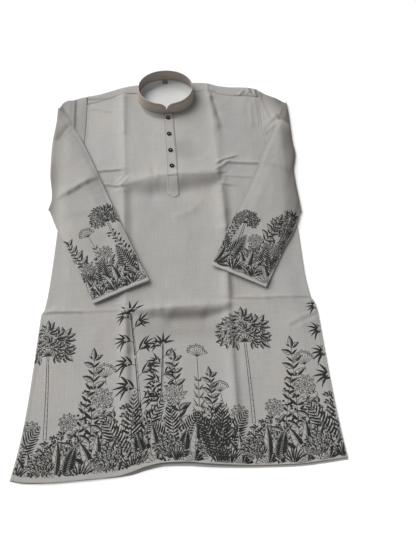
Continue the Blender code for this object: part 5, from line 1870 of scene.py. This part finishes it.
class KURTA_PG_cloth(bpy.types.PropertyGroup):
    """Sizes and colours of the cloth."""

    wall: length("Wall", "Thickness of one layer of cloth", 0.0006, 0.0002, 0.001)
    cool: colour("Cool tone", "Cooler tone of the melange", (0.330, 0.331, 0.329))
    warm: colour("Warm tone", "Warmer tone of the melange", (0.358, 0.345, 0.331))
    band: colour("Band tone", "Collar band", (0.350, 0.302, 0.265))
    band_warm: colour("Band second tone", "Second tone of the collar band", (0.320, 0.290, 0.265))
    lining: colour("Lining", "Pale inner face of the back", (0.78, 0.805, 0.825))
    lining_warm: colour("Lining second tone", "Second tone of the inner face", (0.73, 0.745, 0.745))
    label: colour("Label", "Tape of the neck label", (0.27, 0.26, 0.19))
    slub: amount("Slub", "Contrast of the uneven threads", 0.21, 1)
    crumple: amount("Crumple", "Depth of the small unevenness", 1.6, 4)


class KURTA_PG_trim(bpy.types.PropertyGroup):
    """Threads and buttons."""

    stitch: length("Stitch", "Length of one stitch", 0.0023, 0.001, 0.006)
    space: length("Space", "Gap between two stitches", 0.0009, 0.0003, 0.004)
    thread_radius: length("Thread radius", "Half the thickness of the thread", 0.00022, 0.0001, 0.0006)
    thread: colour("Thread", "Sewing thread", (0.24, 0.235, 0.225))
    button_thread: colour("Button thread", "Thread in the buttons", (0.62, 0.53, 0.42))
    button_rim: colour("Button rim", "Rim of the buttons", (0.004, 0.003, 0.003))
    button_eye: colour("Button eye", "Middle of the buttons", (0.44, 0.35, 0.26))


class KURTA_PG_print(bpy.types.PropertyGroup):
    """The printed border."""

    colour: colour("Ink", "Ink where it is dense", (0.008, 0.009, 0.0085))
    worn: colour("Thin ink", "Ink where it is thin", (0.022, 0.024, 0.023))
    margin: length("Margin", "Bare cloth below the print", 0.003, 0, 0.05)
    cuff_margin: length("Cuff margin", "Bare cloth between the cuff and its print", 0.0095, 0, 0.05)
    seed: bpy.props.IntProperty(
        name="Seed", description="Choice of the small irregularities", default=11, min=0)


class KURTA_PG_stage(bpy.types.PropertyGroup):
    """Floor and light."""

    floor: colour("Floor", "Colour of the floor", (0.90, 0.90, 0.90))
    sky: colour("Fill colour", "Colour of the light from all round", (0.97, 0.985, 1.0))
    fill: amount("Fill", "Strength of the light from all round", 0.25, 5)
    key_turn: angle("Key turn", "Heading of the main light, clockwise from the collar's side", -50)
    key_rise: angle("Key rise", "Height of the main light above the floor", 40)
    key_angle: angle("Key softness", "Width of the main light", 56)
    key_power: amount("Key power", "Strength of the main light", 4.6, 50)
    front_power: amount("Front power", "Strength of the light from the hem's side", 0.6, 50)
    key_colour: colour("Key colour", "Colour of the main light", (1.0, 0.985, 0.96))


def cloth_wall():
    """Thickness of one layer, in mm."""
    return bpy.context.scene.kurta_cloth.wall / MM


class KURTA_OT_back(bpy.types.Operator):
    """Lay the back on the floor"""

    bl_idname = "kurta.back"
    bl_label = "Back"

    def execute(self, context):
        piece = build_back()
        return {"FINISHED"}


class KURTA_OT_front(bpy.types.Operator):
    """Lay the front on the back"""

    bl_idname = "kurta.front"
    bl_label = "Front"

    def execute(self, context):
        piece = build_front()
        return {"FINISHED"}


class KURTA_OT_yoke(bpy.types.Operator):
    """Turn the yoke over both shoulders"""

    bl_idname = "kurta.yoke"
    bl_label = "Yoke"

    def execute(self, context):
        piece = build_yoke()
        return {"FINISHED"}


class KURTA_OT_sleeves(bpy.types.Operator):
    """Fold both sleeves over the front"""

    bl_idname = "kurta.sleeves"
    bl_label = "Sleeves"

    def execute(self, context):
        for name, area in (("sleeve_left", 0.18), ("sleeve_right", 0.155)):
            piece = build_sleeve(name)
        return {"FINISHED"}


class KURTA_OT_collar(bpy.types.Operator):
    """Stand the collar band round the neck"""

    bl_idname = "kurta.collar"
    bl_label = "Collar"

    def execute(self, context):
        piece = build_collar()
        return {"FINISHED"}


class KURTA_OT_placket(bpy.types.Operator):
    """Lay the placket down the middle of the chest"""

    bl_idname = "kurta.placket"
    bl_label = "Placket"

    def execute(self, context):
        piece = build_placket()
        return {"FINISHED"}


class KURTA_OT_label(bpy.types.Operator):
    """Lay the blank label inside the neck"""

    bl_idname = "kurta.label"
    bl_label = "Label"

    def execute(self, context):
        piece = build_label()
        return {"FINISHED"}


class KURTA_OT_buttons(bpy.types.Operator):
    """Sew four buttons on the placket"""

    bl_idname = "kurta.buttons"
    bl_label = "Buttons"

    def execute(self, context):
        for row in BUTTONS:
            build_button(*row)
        thread_crosses()
        return {"FINISHED"}


class KURTA_OT_stitches(bpy.types.Operator):
    """Sew the seams and hems"""

    bl_idname = "kurta.stitches"
    bl_label = "Stitches"

    def execute(self, context):
        sew("Stitches_body", body_seams())
        sew("Stitches_placket", placket_seams())
        sew("Stitches_collar", collar_seams())
        sew("Stitches_cuffs", cuff_seams())
        return {"FINISHED"}


class KURTA_OT_print(bpy.types.Operator):
    """Print the border of plants on the body and the sleeves"""

    bl_idname = "kurta.print"
    bl_label = "Printed border"

    def execute(self, context):
        print_front()
        print_back()
        print_sleeve("sleeve_left")
        print_sleeve("sleeve_right")
        return {"FINISHED"}


class KURTA_OT_stage(bpy.types.Operator):
    """Set the floor, the light and the camera"""

    bl_idname = "kurta.stage"
    bl_label = "Stage"

    def execute(self, context):
        build_stage()
        return {"FINISHED"}


OPERATORS = (
    KURTA_OT_back, KURTA_OT_front, KURTA_OT_yoke, KURTA_OT_sleeves, KURTA_OT_collar,
    KURTA_OT_placket, KURTA_OT_label, KURTA_OT_buttons, KURTA_OT_stitches, KURTA_OT_print,
    KURTA_OT_stage,
)
GROUPS = (
    # class, name on the scene, heading
    (KURTA_PG_cloth, "kurta_cloth", "Cloth"),
    (KURTA_PG_trim, "kurta_trim", "Threads and buttons"),
    (KURTA_PG_print, "kurta_print", "Printed border"),
    (KURTA_PG_stage, "kurta_stage", "Stage"),
)


class KURTA_PT_panel(bpy.types.Panel):
    """Sizes, colours and steps of the kurta"""

    bl_idname = "KURTA_PT_panel"
    bl_label = "Kurta"
    bl_space_type = "VIEW_3D"
    bl_region_type = "UI"
    bl_category = "Kurta"

    def draw(self, context):
        for group, name, heading in GROUPS:
            box = self.layout.box()
            box.label(text=heading)
            for key in group.__annotations__:
                box.prop(getattr(context.scene, name), key)
        for operator in OPERATORS:
            self.layout.operator(operator.bl_idname)


def register():
    """Register every class and hang the property groups on the scene."""
    for group, name, _ in GROUPS:
        bpy.utils.register_class(group)
        setattr(bpy.types.Scene, name, bpy.props.PointerProperty(type=group))
    for operator in (*OPERATORS, KURTA_PT_panel):
        bpy.utils.register_class(operator)


def unregister():
    """Undo register."""
    for operator in (KURTA_PT_panel, *reversed(OPERATORS)):
        bpy.utils.unregister_class(operator)
    for group, name, _ in reversed(GROUPS):
        delattr(bpy.types.Scene, name)
        bpy.utils.unregister_class(group)


def main():
    register()
    for operator in OPERATORS:
        group, name = operator.bl_idname.split(".")
        getattr(getattr(bpy.ops, group), name)()
    bpy.context.view_layer.update()


if __name__ == "__main__":
    main()
